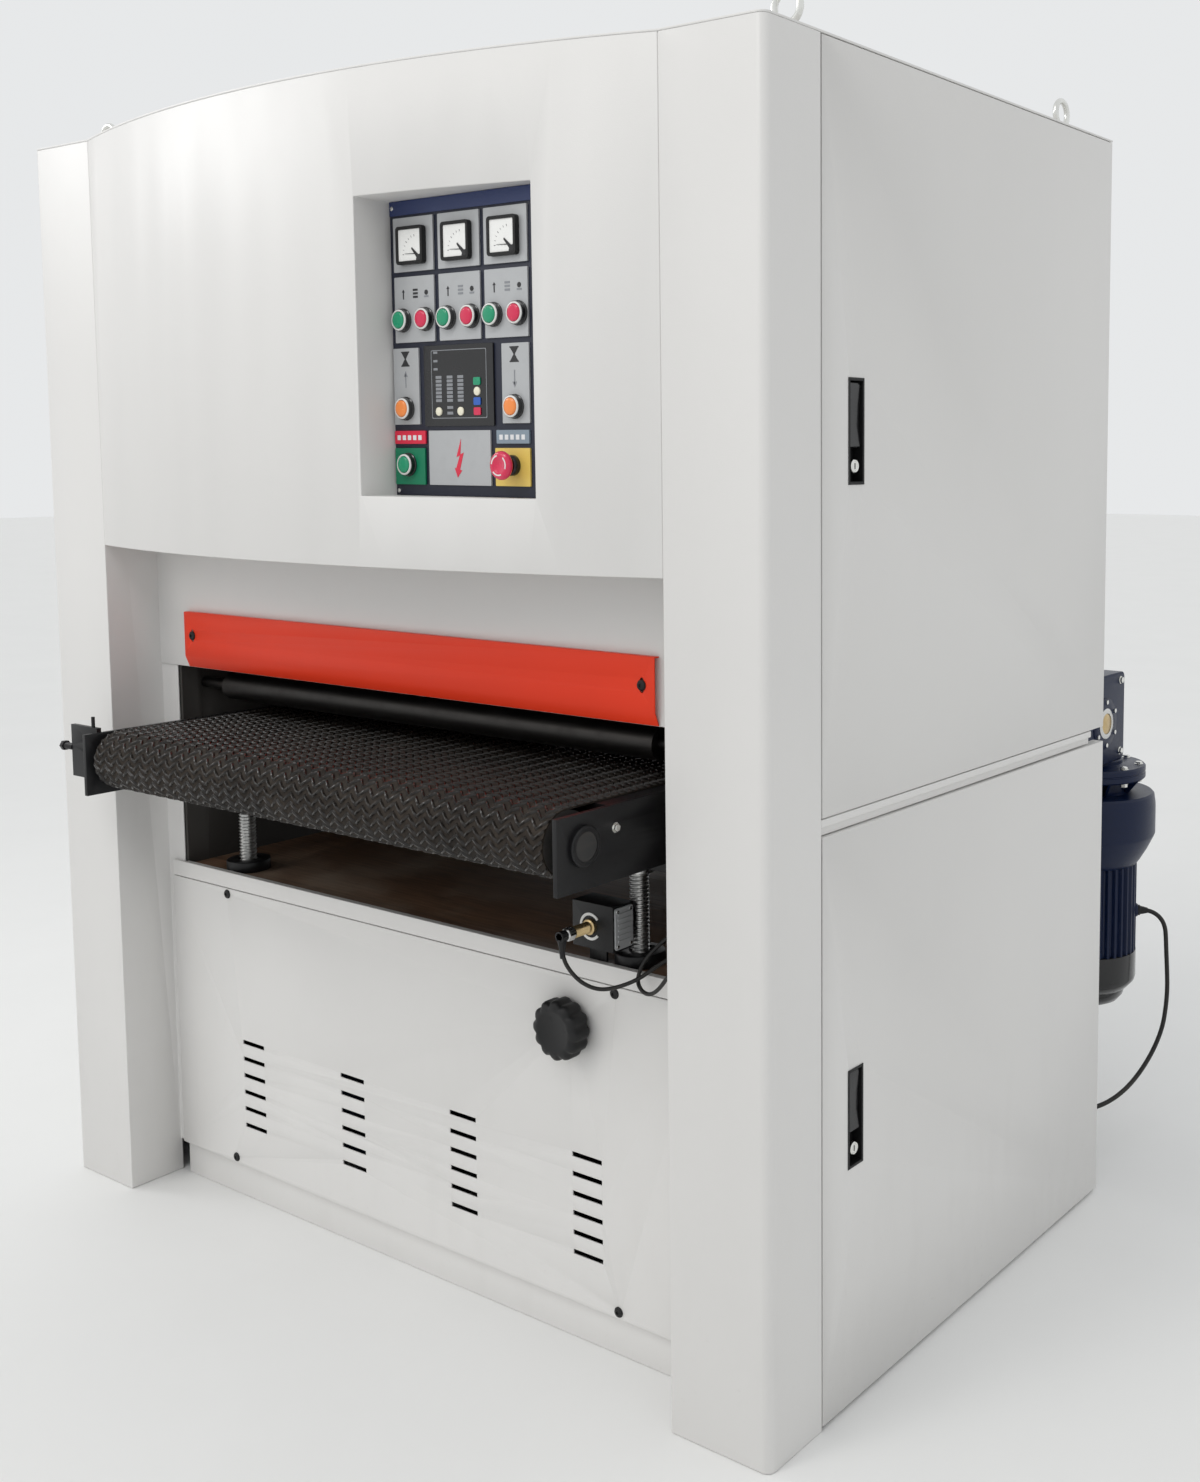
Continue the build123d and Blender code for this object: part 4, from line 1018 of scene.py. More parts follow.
# ---- control panel --------------------------------------------------------------
@dataclass
class ControlPanel:
    """The recessed panel: meters, keys, a drum display and the emergency stop."""

    plate: float = -0.525
    tile: float = -0.528
    columns: Triple = (0.212, 0.306, 0.399)
    meter_row: Pair = (1.618, 1.695)
    key_row: Pair = (1.517, 1.611)
    start_z: float = 1.549
    half: float = 0.042
    key_offset: float = 0.024
    stop: Pair = (0.407, 1.341)
    print_thick: float = 0.0004
    grey_tiles: Sequence[tuple[float, float, float, float]] = (
        (0.164, 0.218, 1.399, 1.509), (0.388, 0.441, 1.399, 1.509), (0.236, 0.363, 1.312, 1.390),
    )

    def build(self) -> None:
        """Builds the plate and everything on it."""
        eased("control_plate", DARK, Slot.PANEL_DARK, ease=0.0006)
        self.tiles()
        self.meters()
        self.icons()
        self.display()
        self.buttons()
        self.emergency_stop()

    def flat(self, form: Form, outline: Sequence[Pair], lift: int = 1) -> Form:
        """Adds a thin printed shape to the face of the tiles, lift layers up."""
        return form.prism(outline, Axis.Y, self.tile + 0.0001, self.tile - lift * self.print_thick)

    def tiles(self) -> None:
        """The foil tiles, the coloured plates and the dark display's frame."""
        grey = Form()
        edges = [
            (x - self.half, x + self.half, *row) for x in self.columns
            for row in (self.meter_row, self.key_row)
        ]
        for x0, x1, z0, z1 in (*edges, *self.grey_tiles):
            grey.prism(rounded((x0, z0), (x1, z1), 0.0012), Axis.Y, self.plate, self.tile)
        grey.piece(
            "panel_foils", FOIL, Slot.PANEL_GREY, ease=0.0003, stands_for=("panel_tiles",), steps=1
        )
        plates = {
            "display_block": (GLOSS, Slot.PLASTIC, (0.229, 0.371, 1.396, 1.511)),
            "red_label": (RED_PRINT, Slot.PANEL_GREY, (0.163, 0.229, 1.371, 1.390)),
            "green_plate": (GREEN_PRINT, Slot.PANEL_GREY, (0.163, 0.227, 1.312, 1.365)),
            "slate_label": (SLATE_PRINT, Slot.PANEL_GREY, (0.375, 0.439, 1.371, 1.390)),
            "yellow_plate": (YELLOW_PRINT, Slot.PANEL_GREY, (0.372, 0.440, 1.312, 1.365)),
        }
        for name, (finish, slot, (x0, x1, z0, z1)) in plates.items():
            form = Form().prism(rounded((x0, z0), (x1, z1), 0.0012), Axis.Y, self.plate, self.tile)
            form.piece(name, finish, slot, ease=0.0003, steps=1)
        header = Form().prism(
            rounded((0.1612, 1.699), (0.4668, 1.7194), 0.0006), Axis.Y, self.plate,
            self.plate - 0.0012
        )
        header.piece("panel_header", HEADER, Slot.PANEL_DARK)
        corners = Form()
        for x in (0.167, 0.461):
            for z in (1.303, 1.7095):
                face = self.plate - (0.0012 if z > 1.6 else 0.0)
                head = [
                    (0.0, face), (0.0032, face), (0.003, face - 0.0012), (0.0018, face - 0.0019),
                    (0.0, face - 0.002)
                ]
                corners.lathe(head, Axis.Y, (x, z), 18)
        corners.piece("panel_screws", ZINC, Slot.ZINC)

    def meters(self) -> None:
        """Three square ammeters: frame, dial, scale, needle and the movement's cover."""
        frames, dials, marks, covers = Form(), Form(), Form(), Form()
        z = sum(self.meter_row) / 2 - 0.002
        wide, high, rim, front = 0.028, 0.027, 0.0048, self.tile - 0.008
        dial_radius = 0.0245
        for x in self.columns:
            outer = rounded((x - wide, z - high), (x + wide, z + high), 0.005, 5)
            inner = rounded(
                (x - wide + rim, z - high + rim), (x + wide - rim, z + high - rim), 0.002, 5
            )
            self.frame_ring(frames, outer, inner, self.tile, front)
            dials.prism(inner, Axis.Y, self.tile, front + 0.0016)
            face = front + 0.0016
            pivot = (x + 0.013, z - 0.013)
            for n in range(7):
                a = math.radians(96 + 14 * n)
                half = 0.00025 if n % 3 else 0.0004
                d = (math.cos(a), math.sin(a))
                p = (pivot[0] + dial_radius * d[0], pivot[1] + dial_radius * d[1])
                q = (p[0] + 0.003 * d[0], p[1] + 0.003 * d[1])
                side = (-d[1] * half, d[0] * half)
                tick = [(p[0] - side[0], p[1] - side[1]), (p[0] + side[0], p[1] + side[1])]
                tick += [(q[0] + side[0], q[1] + side[1]), (q[0] - side[0], q[1] - side[1])]
                marks.prism(tick, Axis.Y, face + 0.0001, face - 0.0002)
            tip = (pivot[0] - 0.0225, pivot[1] + 0.001)
            needle = [(pivot[0], pivot[1] - 0.0006), (pivot[0], pivot[1] + 0.0006)]
            needle += [(tip[0], tip[1] + 0.0002), (tip[0], tip[1] - 0.0002)]
            marks.prism(needle, Axis.Y, face - 0.0004, face - 0.0008)
            corner = (x + wide - rim, z - high + rim)
            quarter = [corner]
            quarter += [
                (corner[0] + 0.0085 * math.cos(a), corner[1] + 0.0085 * math.sin(a))
                for a in (math.radians(90 + 9 * n) for n in range(11))
            ]
            wedge = [(corner[0] - 0.003, corner[1] + 0.007), (corner[0] - 0.007, corner[1] + 0.003)]
            wedge += [
                (corner[0] - 0.0185, corner[1] + 0.0165), (corner[0] - 0.0175, corner[1] + 0.0185)
            ]
            covers.prism(wedge, Axis.Y, face + 0.0001, face - 0.0009)
            covers.prism(quarter, Axis.Y, face + 0.0001, face - 0.0011)
        frames.piece("meter_frames", PLASTIC, Slot.PLASTIC, ease=0.0005)
        dials.piece("meter_dials", DIAL, Slot.PANEL_GREY)
        marks.piece("meter_marks", INK, Slot.PLASTIC)
        covers.piece("meter_covers", GLOSS, Slot.PLASTIC)

    @staticmethod
    def frame_ring(
        form: Form, outer: Sequence[Pair], inner: Sequence[Pair], back: float, front: float
    ) -> None:
        """Adds a flat frame between two outlines with as many points."""
        rings = [
            [form.mesh.verts.new(spread(Axis.Y, a, b, at)) for a, b in line]
            for line in (outer, inner) for at in (back, front)
        ]
        for first, second in ((0, 1), (1, 3), (3, 2), (2, 0)):
            form.skin(rings[first], rings[second])

    def icons(self) -> None:
        """Plain signs: motor marks, lift arrows and the high-voltage flash."""
        ink, grey, red, pale = Form(), Form(), Form(), Form()
        for n, x in enumerate(self.columns):
            self.flat(ink, rounded((x - 0.0235, 1.579), (x - 0.0215, 1.589), 0.0005))
            self.flat(ink, [(x - 0.0255, 1.589), (x - 0.0195, 1.589), (x - 0.0225, 1.593)])
            for step in range(3):
                self.flat(
                    ink if n == 0 else grey,
                    rounded(
                        (x - 0.002, 1.580 + 0.005 * step), (x + 0.008, 1.583 + 0.005 * step), 0.0005
                    )
                )
            self.flat(ink, circle((x + 0.026, 1.587), 0.0038, 8))
            self.flat(grey, rounded((x + 0.0215, 1.580), (x + 0.0305, 1.5825), 0.0005))
        for x, up in ((0.190, True), (0.413, False)):
            z = 1.4935
            self.flat(
                ink,
                [
                    (x - 0.0075, z + 0.009), (x + 0.0075, z + 0.009), (x + 0.001, z),
                    (x + 0.0075, z - 0.009), (x - 0.0075, z - 0.009), (x - 0.001, z)
                ]
            )
            self.flat(ink, rounded((x - 0.0088, z + 0.009), (x + 0.0088, z + 0.0108), 0.0005))
            self.flat(ink, rounded((x - 0.0088, z - 0.0108), (x + 0.0088, z - 0.009), 0.0005))
            self.flat(grey, rounded((x - 0.0008, 1.452), (x + 0.0008, 1.472), 0.0004))
            tip = 1.476 if up else 1.448
            base = 1.468 if up else 1.456
            self.flat(grey, [(x - 0.004, base), (x + 0.004, base), (x, tip)])
        flash = [
            (0.3035, 1.378), (0.2935, 1.352), (0.3005, 1.3545), (0.2925, 1.336), (0.2895, 1.337),
            (0.2955, 1.323), (0.3045, 1.333), (0.3005, 1.3345), (0.3085, 1.3585), (0.3015, 1.356)
        ]
        self.flat(red, flash)
        for x0, x1 in ((0.168, 0.224), (0.380, 0.434)):
            for n in range(5):
                step = (x1 - x0) / 5
                self.flat(
                    pale,
                    rounded(
                        (x0 + n * step + 0.0012, 1.3765), (x0 + (n + 0.62) * step + 0.0012, 1.3835),
                        0.0006
                    )
                )
        ink.piece("panel_signs", INK, Slot.PANEL_DARK)
        grey.piece("panel_faint_signs", GREY_INK, Slot.PANEL_DARK)
        red.piece("panel_flash", RED_PRINT, Slot.RED)
        pale.piece("panel_bars", PALE, Slot.PANEL_GREY)

    def display(self) -> None:
        """The lift controller: grey bars, round keys and a column of coloured lamps."""
        grey, keys = Form(), Form()
        for n, x in enumerate((0.260, 0.283, 0.305)):
            for step in range(7):
                self.flat(
                    grey,
                    rounded(
                        (x - 0.006, 1.4305 + 0.0055 * step), (x + 0.006, 1.4345 + 0.0055 * step),
                        0.0004
                    )
                )
            if n == 1:
                for step in range(2):
                    self.flat(
                        grey,
                        rounded(
                            (x - 0.006, 1.4125 + 0.008 * step), (x + 0.006, 1.4165 + 0.008 * step),
                            0.0004
                        )
                    )
        for z in (1.499, 1.487, 1.4755):
            self.flat(grey, rounded((0.250, z), (0.2585, z + 0.0032), 0.0005))
        window = rounded((0.246, 1.408), (0.357, 1.503), 0.002)
        outer = rounded((0.245, 1.407), (0.358, 1.504), 0.002)
        self.frame_ring(grey, outer, window, self.tile + 0.0001, self.tile - 0.0003)
        t = self.tile
        key = [(0.0, t), (0.0062, t), (0.006, t - 0.0016), (0.0045, t - 0.0024), (0.0, t - 0.0026)]
        for spot in ((0.260, 1.417), (0.305, 1.417), (0.339, 1.4445)):
            keys.lathe(key, Axis.Y, spot, 24)
        grey.piece("display_marks", GREY_INK, Slot.PANEL_DARK)
        keys.piece("display_keys", CREAM, Slot.PANEL_GREY)
        lamps = {
            "green_lamp": (GREEN, 1.4585, Slot.GREEN),
            "blue_lamp": (BLUE_PRINT, 1.4305, Slot.PANEL_DARK),
            "red_lamp": (RED_CAP, 1.4165, Slot.RED)
        }
        for name, (finish, z, slot) in lamps.items():
            lamp = rounded((0.332, z - 0.0055), (0.346, z + 0.0055), 0.0022)
            Form().prism(lamp, Axis.Y, self.tile, self.tile - 0.0016).piece(
                name, finish, slot, ease=0.0004
            )

    def buttons(self) -> None:
        """Nine press buttons, each with a black collar and a pale ring."""
        spots: dict[str, tuple[float, float, Finish, Slot]] = {}
        for n, x in enumerate(self.columns, 1):
            spots[f"start_button_{n}"] = (x - self.key_offset, self.start_z, GREEN, Slot.GREEN)
            spots[f"stop_button_{n}"] = (x + self.key_offset, self.start_z, RED_CAP, Slot.RED)
        spots["raise_button"] = (0.190, 1.422, ORANGE, Slot.ORANGE)
        spots["lower_button"] = (0.413, 1.422, ORANGE, Slot.ORANGE)
        spots["power_button"] = (0.192, 1.341, GREEN, Slot.GREEN)
        collars, rings = Form(), Form()
        t = self.tile
        for name, (x, z, finish, slot) in spots.items():
            collar = [
                (0.0124, t), (0.0172, t), (0.0172, t - 0.0015), (0.0160, t - 0.0025),
                (0.0160, t - 0.0078), (0.0150, t - 0.0086), (0.0124, t - 0.0086)
            ]
            collars.ring(collar, Axis.Y, (x, z), 36)
            ring = [
                (0.0123, t - 0.006), (0.0152, t - 0.0082), (0.0150, t - 0.0094),
                (0.0141, t - 0.0101), (0.0127, t - 0.0101), (0.0123, t - 0.0092)
            ]
            rings.ring(ring, Axis.Y, (x, z), 36)
            cap = [
                (0.0, t - 0.004), (0.0118, t - 0.004), (0.0118, t - 0.0102), (0.0110, t - 0.0113),
                (0.0085, t - 0.0119), (0.0, t - 0.0121)
            ]
            # The cap's finish emits a faint light: painted light, since a push button is no lamp.
            Form().lathe(cap, Axis.Y, (x, z), 32).piece(
                f"{name}_cap", finish, slot, name, stands_for=(name,), crease=50.0
            )
        x, z = self.stop
        collars.ring(
            [
                (0.0082, t), (0.0145, t), (0.0145, t - 0.007), (0.0125, t - 0.0098),
                (0.0082, t - 0.0098)
            ],
            Axis.Y, (x, z), 36
        )
        collars.piece("button_collars", GLOSS, Slot.PLASTIC, crease=50.0)
        rings.piece("button_rings", RING, Slot.PANEL_GREY, crease=60.0)

    def emergency_stop(self) -> None:
        """The mushroom head, with a pale ring of three turning marks."""
        t, (x, z) = self.tile, self.stop
        head = [
            (0.0, t - 0.005), (0.0079, t - 0.005), (0.0079, t - 0.0175), (0.0165, t - 0.0182),
            (0.0193, t - 0.0192)
        ]
        head += [
            (0.0200, t - 0.021), (0.0198, t - 0.0235), (0.0182, t - 0.0262), (0.0150, t - 0.0276),
            (0.0115, t - 0.0279)
        ]
        head += [(0.0105, t - 0.0272), (0.0, t - 0.0270)]
        # The red finish emits a faint light: painted light, since the head is no lamp.
        form = Form().lathe(head, Axis.Y, (x, z), 48)
        form.piece(
            "mushroom_head", RED_CAP, Slot.RED, "emergency_stop", stands_for=("emergency_stop",),
            crease=50.0
        )
        marks = Form()
        for n in range(3):
            start = math.radians(100 + 120 * n)
            arc = [start + math.radians(9 * k) for k in range(9)]
            marks.prism(bent_band((x, z), 0.0145, 0.0125, arc), Axis.Y, t - 0.0270, t - 0.02805)
        marks.piece("mushroom_marks", RING, Slot.PANEL_GREY, "emergency_stop")


# ---- table, feed belt and its drive ----------------------------------------------
@dataclass
class FeedTable:
    """The lifting table with its endless belt, and the screws it stands on."""

    front: float = -0.560
    rear: float = 0.719
    level: float = 0.832
    inner: float = 0.0453
    base: float = 0.0478
    top: float = 0.051
    half: float = 0.530
    beads: int = 205
    columns: int = 64
    swing: float = 0.007
    foot: float = 0.0032
    crown: float = 0.0013
    dip: float = 0.0008
    plate: float = 0.560
    plate_z: Pair = (0.771, 0.877)
    screws: Sequence[Pair] = ((-0.475, -0.355), (0.475, -0.355), (-0.475, 0.355), (0.475, 0.355))
    screw_radius: float = 0.015
    pitch: float = 0.006
    screw_z: Pair = (0.430, 0.750)
    thread_deep: float = 0.0024
    teeth: int = 16
    tooth_deep: float = 0.0028

    def build(self) -> None:
        """Builds the table, the belt and the lifting gear."""
        eased("table_frame", BLACK, Slot.BLACK, "table", 0.0009)
        self.belt()
        self.roller_ends()
        self.plate_bolts()
        self.lift_screws()
        self.lift_nuts()
        eased("screw_housings", BLACK, Slot.BLACK, ease=0.002)
        dress("lift_chain", STEEL)
        dress("infeed_roller", ROLLER)
        dress("outfeed_roller", ROLLER)

    def at(self, run: float, radius: float) -> Pair:
        """A point of the belt's loop.

        Args:
            run: how far round the loop, measured on the band's outside.
            radius: how far from the rollers' axes.

        Returns:
            Its Y and Z.
        """
        straight, turn = self.rear - self.front, math.pi * self.base
        run %= 2 * (straight + turn)
        if run < straight:
            return self.front + run, self.level + radius
        run -= straight
        if run < turn:
            a = run / self.base
            return self.rear + radius * math.sin(a), self.level + radius * math.cos(a)
        run -= turn
        if run < straight:
            return self.rear - run, self.level - radius
        a = (run - straight) / self.base
        return self.front - radius * math.sin(a), self.level - radius * math.cos(a)

    def belt(self) -> None:
        """A plain band and the herringbone beads that grip the boards."""
        straight, turn = self.rear - self.front, math.pi * self.base
        loop = 2 * (straight + turn)
        stops = [n * straight / 12 for n in range(12)] + [
            straight + n * turn / 28 for n in range(28)
        ]
        stops += [s + loop / 2 for s in stops]
        band = Form()
        rows = []
        for s in stops:
            corners = [
                (x, *self.at(s, r))
                for r, x in (
                    (self.inner, -self.half), (self.base, -self.half), (self.base, self.half),
                    (self.inner, self.half)
                )
            ]
            rows.append([band.mesh.verts.new(c) for c in corners])
        for row, after in zip(rows, [*rows[1:], rows[0]]):
            band.skin(row, after)
        band.piece("feed_band", BAND, Slot.BELT, "table", stands_for=("feed_belt",), crease=40.0)
        zigzag = Form()
        shares = (0.0, 0.16, 0.5, 0.84)
        places = [
            (k + share, abs(share - 0.5) < 0.4) for k in range(self.columns) for share in shares
        ]
        for n in range(self.beads):
            middle, last = loop * n / self.beads, None
            for place, raised in [*places, (float(self.columns), False)]:
                x = -self.half + 2 * self.half * place / self.columns
                s = middle + self.swing * (abs(place % 2 - 1.0) * 2.0 - 1.0)
                top = self.top if raised else self.base + self.dip
                shape = (
                    (-self.foot, self.base - 0.0003), (-self.crown, top), (self.crown, top),
                    (self.foot, self.base - 0.0003)
                )
                row = [zigzag.mesh.verts.new((x, *self.at(s + ds, r))) for ds, r in shape]
                if last:
                    for i in range(3):
                        zigzag.mesh.faces.new((last[i], last[i + 1], row[i + 1], row[i]))
                if last is None or place == self.columns:
                    zigzag.mesh.faces.new(row if last else row[::-1])
                last = row
        zigzag.piece("feed_beads", BELT, Slot.BELT, "table", crease=50.0)

    def roller_ends(self) -> None:
        """Collars where the rollers' shafts come through the sides."""
        form = Form()
        for side, sign in ((-self.plate, -1.0), (self.plate, 1.0)):
            for y in (self.front, self.rear):
                if sign > 0 and y == self.rear:
                    continue
                ring = [
                    (0.0204, side), (0.028, side), (0.028, side + sign * 0.005),
                    (0.026, side + sign * 0.0065), (0.0204, side + sign * 0.0065)
                ]
                form.ring(ring, Axis.X, (y, self.level), 36)
        form.piece("roller_collars", BLACK, Slot.BLACK, "table")

    def plate_bolts(self) -> None:
        """Hexagon screws along the side plates."""
        form = Form()
        low, high = self.plate_z
        for side, way in ((self.plate, (1, 0, 0)), (-self.plate, (-1, 0, 0))):
            for y in (-0.497, -0.270, 0.080, 0.430):
                form.screw((side, y, 0.845), way, 0.0115, 0.0045)
            for y in (-0.355, 0.355):
                form.screw((side, y, low + 0.012), way, 0.0115, 0.0045)
        form.piece("table_screws", ZINC, Slot.ZINC, "table")

    def lift_screws(self) -> None:
        """Trapezoidal threads below their mounting flanges."""
        form = Form()
        low, high = self.screw_z
        for centre in self.screws:
            count = round((high - 0.012 - low) / 0.001)
            profile = [(0.0, low), (self.screw_radius * 0.8, low)]
            profile += [(self.screw_radius, low + 0.001 + 0.001 * n) for n in range(count)]
            form.lathe(profile, Axis.Z, centre, 28, self.thread)
            flange = [
                (0.0, high - 0.01), (0.0235, high - 0.01), (0.024, high - 0.009), (0.024, high),
                (0.0, high)
            ]
            form.lathe(flange, Axis.Z, centre, 36)
        form.piece(
            "lift_threads", STEEL, Slot.STEEL, "table", stands_for=("lift_screws",), crease=60.0
        )

    def thread(self, angle: float, radius: float, along: float) -> float:
        """The radius of the thread at an angle and a level."""
        if radius < self.screw_radius:
            return radius
        turn = math.sin(math.tau * along / self.pitch - angle)
        return radius - self.thread_deep * (0.5 - 0.5 * max(-1.0, min(1.0, 2.2 * turn)))

    def tooth(self, angle: float, radius: float, _: float) -> float:
        """The radius of the chain wheel, cut back between its teeth."""
        gap = radius > 0.03 and math.cos(self.teeth * angle + 0.2) < 0
        return radius - (self.tooth_deep if gap else 0.0)

    def lift_nuts(self) -> None:
        """Bronze nuts, each with a toothed wheel for the chain."""
        for (x, y), side in zip(
            self.screws, ("front_left", "front_right", "rear_left", "rear_right")
        ):
            form = Form()
            body = [
                (0.01505, 0.500), (0.028, 0.500), (0.028, 0.520), (0.028, 0.528), (0.028, 0.598),
                (0.0265, 0.599), (0.01505, 0.599)
            ]
            form.ring(body, Axis.Z, (x, y), 48)
            wheel = [
                (0.027, 0.5205), (0.0315, 0.5205), (0.032, 0.522), (0.032, 0.526), (0.0315, 0.5275),
                (0.027, 0.5275)
            ]
            form.ring(wheel, Axis.Z, (x, y), 96, self.tooth)
            form.piece(
                f"{side}_nut", BRASS, Slot.IRON, f"lift_nut_{side}",
                stands_for=(f"lift_nut_{side}",), crease=40.0
            )


@dataclass
class GearMotor:
    """The worm gearbox on the outfeed roller's shaft, and the motor that hangs from it."""

    x: float = 0.670
    y: float = 0.782
    output: Pair = (0.719, 0.832)
    face: float = 0.725
    way: Triple = (0.906, 0.423, 0.0)
    gland_z: float = 0.440
    fins: int = 36
    fin_deep: float = 0.0065

    def build(self) -> None:
        """Builds the gearbox's dress, the motor and its lead's gland."""
        eased("worm_gearbox", NAVY, Slot.NAVY, "table", 0.003, steps=3)
        self.gearbox_details()
        self.flanges()
        self.barrel()
        self.gland()

    def gearbox_details(self) -> None:
        """The bearing cover with its bright ring and cap, and the cover's bolts."""
        y, z = self.output
        x = self.face
        cover = Form()
        cover.ring(
            [
                (0.030, x), (0.0505, x), (0.0505, x + 0.0012), (0.049, x + 0.0026),
                (0.034, x + 0.0034), (0.030, x + 0.0034)
            ],
            Axis.X, (y, z), 56
        )
        cover.piece("gearbox_cover", NAVY, Slot.NAVY, "table", crease=50.0)
        ring = Form().ring(
            [
                (0.0205, x + 0.0015), (0.0300, x + 0.0015), (0.0300, x + 0.0042),
                (0.0285, x + 0.0052), (0.0205, x + 0.0052)
            ],
            Axis.X, (y, z), 56
        )
        ring.piece("bearing_ring", SHAFT, Slot.STEEL, "table", crease=50.0)
        cap = Form().lathe(
            [(0.0, x), (0.0207, x), (0.0205, x + 0.0036), (0.0185, x + 0.0046), (0.0, x + 0.0050)],
            Axis.X, (y, z), 40
        )
        cap.piece("bearing_cap", BRASS, Slot.STEEL, "table", crease=50.0)
        bolts = Form()
        for n in range(6):
            a = math.radians(30 + 60 * n)
            bolts.screw(
                (x + 0.0028, y + 0.0425 * math.cos(a), z + 0.0425 * math.sin(a)), (1, 0, 0), 0.0095,
                0.004, False
            )
        for yy in (0.650, 0.790):
            for zz in (0.768, 0.910):
                bolts.screw((x, yy, zz), (1, 0, 0), 0.0125, 0.005)
        bolts.screw((self.x, self.y - 0.06, 0.926), (0, 0, 1), 0.016, 0.006)
        bolts.piece("gearbox_bolts", ZINC, Slot.ZINC, "table")

    def flanges(self) -> None:
        """The stack of flanges, the bell and the brake housing above the barrel."""
        top = [
            (0.0, 0.751), (0.058, 0.751), (0.060, 0.749), (0.060, 0.742), (0.063, 0.740),
            (0.103, 0.740), (0.106, 0.737)
        ]
        top += [
            (0.106, 0.729), (0.1045, 0.7275), (0.1045, 0.7255), (0.106, 0.724), (0.106, 0.716),
            (0.103, 0.713)
        ]
        top += [
            (0.076, 0.713), (0.072, 0.709), (0.072, 0.690), (0.076, 0.685), (0.120, 0.685),
            (0.124, 0.681), (0.1265, 0.664)
        ]
        top += [
            (0.127, 0.655), (0.127, 0.603), (0.125, 0.598), (0.112, 0.572), (0.098, 0.549),
            (0.092, 0.541), (0.086, 0.538), (0.0, 0.538)
        ]
        Form().lathe(top, Axis.Z, (self.x, self.y), 72).piece(
            "motor_flanges", NAVY, Slot.NAVY, "table", stands_for=("feed_motor",), crease=34.0
        )
        bolts = Form()
        for n in range(8):
            a = math.radians(22.5 + 45 * n)
            spot = (self.x + 0.092 * math.cos(a), self.y + 0.092 * math.sin(a))
            bolts.screw((*spot, 0.713), (0, 0, -1), 0.0145, 0.0075)
            bolts.screw((*spot, 0.740), (0, 0, 1), 0.0145, 0.0045)
        bolts.piece("flange_bolts", ZINC, Slot.ZINC, "table")
        ribs = Form()
        for n in range(8):
            a = math.radians(45 * n)
            way = Vector((math.cos(a), math.sin(a), 0.0))
            side = Vector((-way.y, way.x, 0.0)) * 0.003
            inner, outer = Vector((self.x, self.y, 0.0)) + way * 0.070, Vector(
                (self.x, self.y, 0.0)
            ) + way * 0.101
            corners = [
                (inner, 0.7125), (outer, 0.7125), (inner + way * 0.008, 0.6855), (inner, 0.6855)
            ]
            ribs.slab(
                [[p + side * sign + Vector((0, 0, z)) for p, z in corners] for sign in (-1, 1)]
            )
        ribs.piece("bell_ribs", NAVY, Slot.NAVY, "table", ease=0.0008)

    def fin(self, angle: float, radius: float, _: float) -> float:
        """The radius of the barrel, cut back between its fins."""
        return radius - (self.fin_deep if math.cos(self.fins * angle + 0.3) < 0 else 0.0)

    def barrel(self) -> None:
        """The finned barrel, its blank plate, the fan cowl and the grille under it."""
        centre = (self.x, self.y)
        finned = [
            (0.0, 0.541), (0.091, 0.541), (0.092, 0.538), (0.092, 0.352), (0.090, 0.348),
            (0.0, 0.348)
        ]
        form = Form().lathe(finned, Axis.Z, centre, 144, self.fin)
        form.piece("motor_fins", NAVY, Slot.NAVY, "table", crease=30.0)
        plate = Form()
        a = math.radians(118)
        way, side = Vector((math.cos(a), math.sin(a), 0)), Vector((-math.sin(a), math.cos(a), 0))
        middle = Vector((self.x, self.y, 0.0)) + way * 0.0905
        outline = rounded((-0.032, 0.412), (0.032, 0.482), 0.004)
        plate.slab(
            [
                [middle + way * out + side * u + Vector((0, 0, z)) for u, z in outline]
                for out in (-0.006, 0.0012)
            ]
        )
        plate.piece("motor_plate", FOIL, Slot.ZINC, "table")
        cowl = [
            (0.0915, 0.362), (0.0925, 0.3615), (0.0925, 0.309), (0.0905, 0.301), (0.078, 0.287),
            (0.072, 0.2825)
        ]
        cowl += [(0.068, 0.270), (0.058, 0.258), (0.040, 0.2495), (0.0, 0.2492)]
        Form().lathe([(0.0, 0.362), *cowl], Axis.Z, centre, 64).piece(
            "fan_cowl", GLOSS, Slot.PLASTIC, "table", crease=34.0
        )
        grille = Form()
        for r in (0.012, 0.020, 0.028, 0.036):
            grille.ring(
                [
                    (r - 0.0015, 0.2495), (r + 0.0015, 0.2495), (r + 0.0015, 0.2485),
                    (r - 0.0015, 0.2485)
                ],
                Axis.Z, centre, 40
            )
        grille.piece("fan_grille", ZINC, Slot.ZINC, "table")

    def gland(self) -> None:
        """The terminal boss and the tapered gland where the lead comes out."""
        way = Vector(self.way).normalized()
        root = Vector((self.x, self.y, self.gland_z))
        boss = [(0.0, 0.080), (0.0135, 0.080), (0.0135, 0.0925), (0.0115, 0.0955), (0.0, 0.0955)]
        Form().turned(root, way, boss, 32).piece("gland_boss", NAVY, Slot.NAVY, "table")
        taper = [
            (0.0, 0.0935), (0.0105, 0.0935), (0.0105, 0.0990), (0.0088, 0.1000), (0.0080, 0.1030),
            (0.0062, 0.1110), (0.0051, 0.1150), (0.0044, 0.1152)
        ]
        Form().turned(root, way, taper, 32).piece(
            "motor_gland", PLASTIC, Slot.PLASTIC, "table", crease=45.0
        )


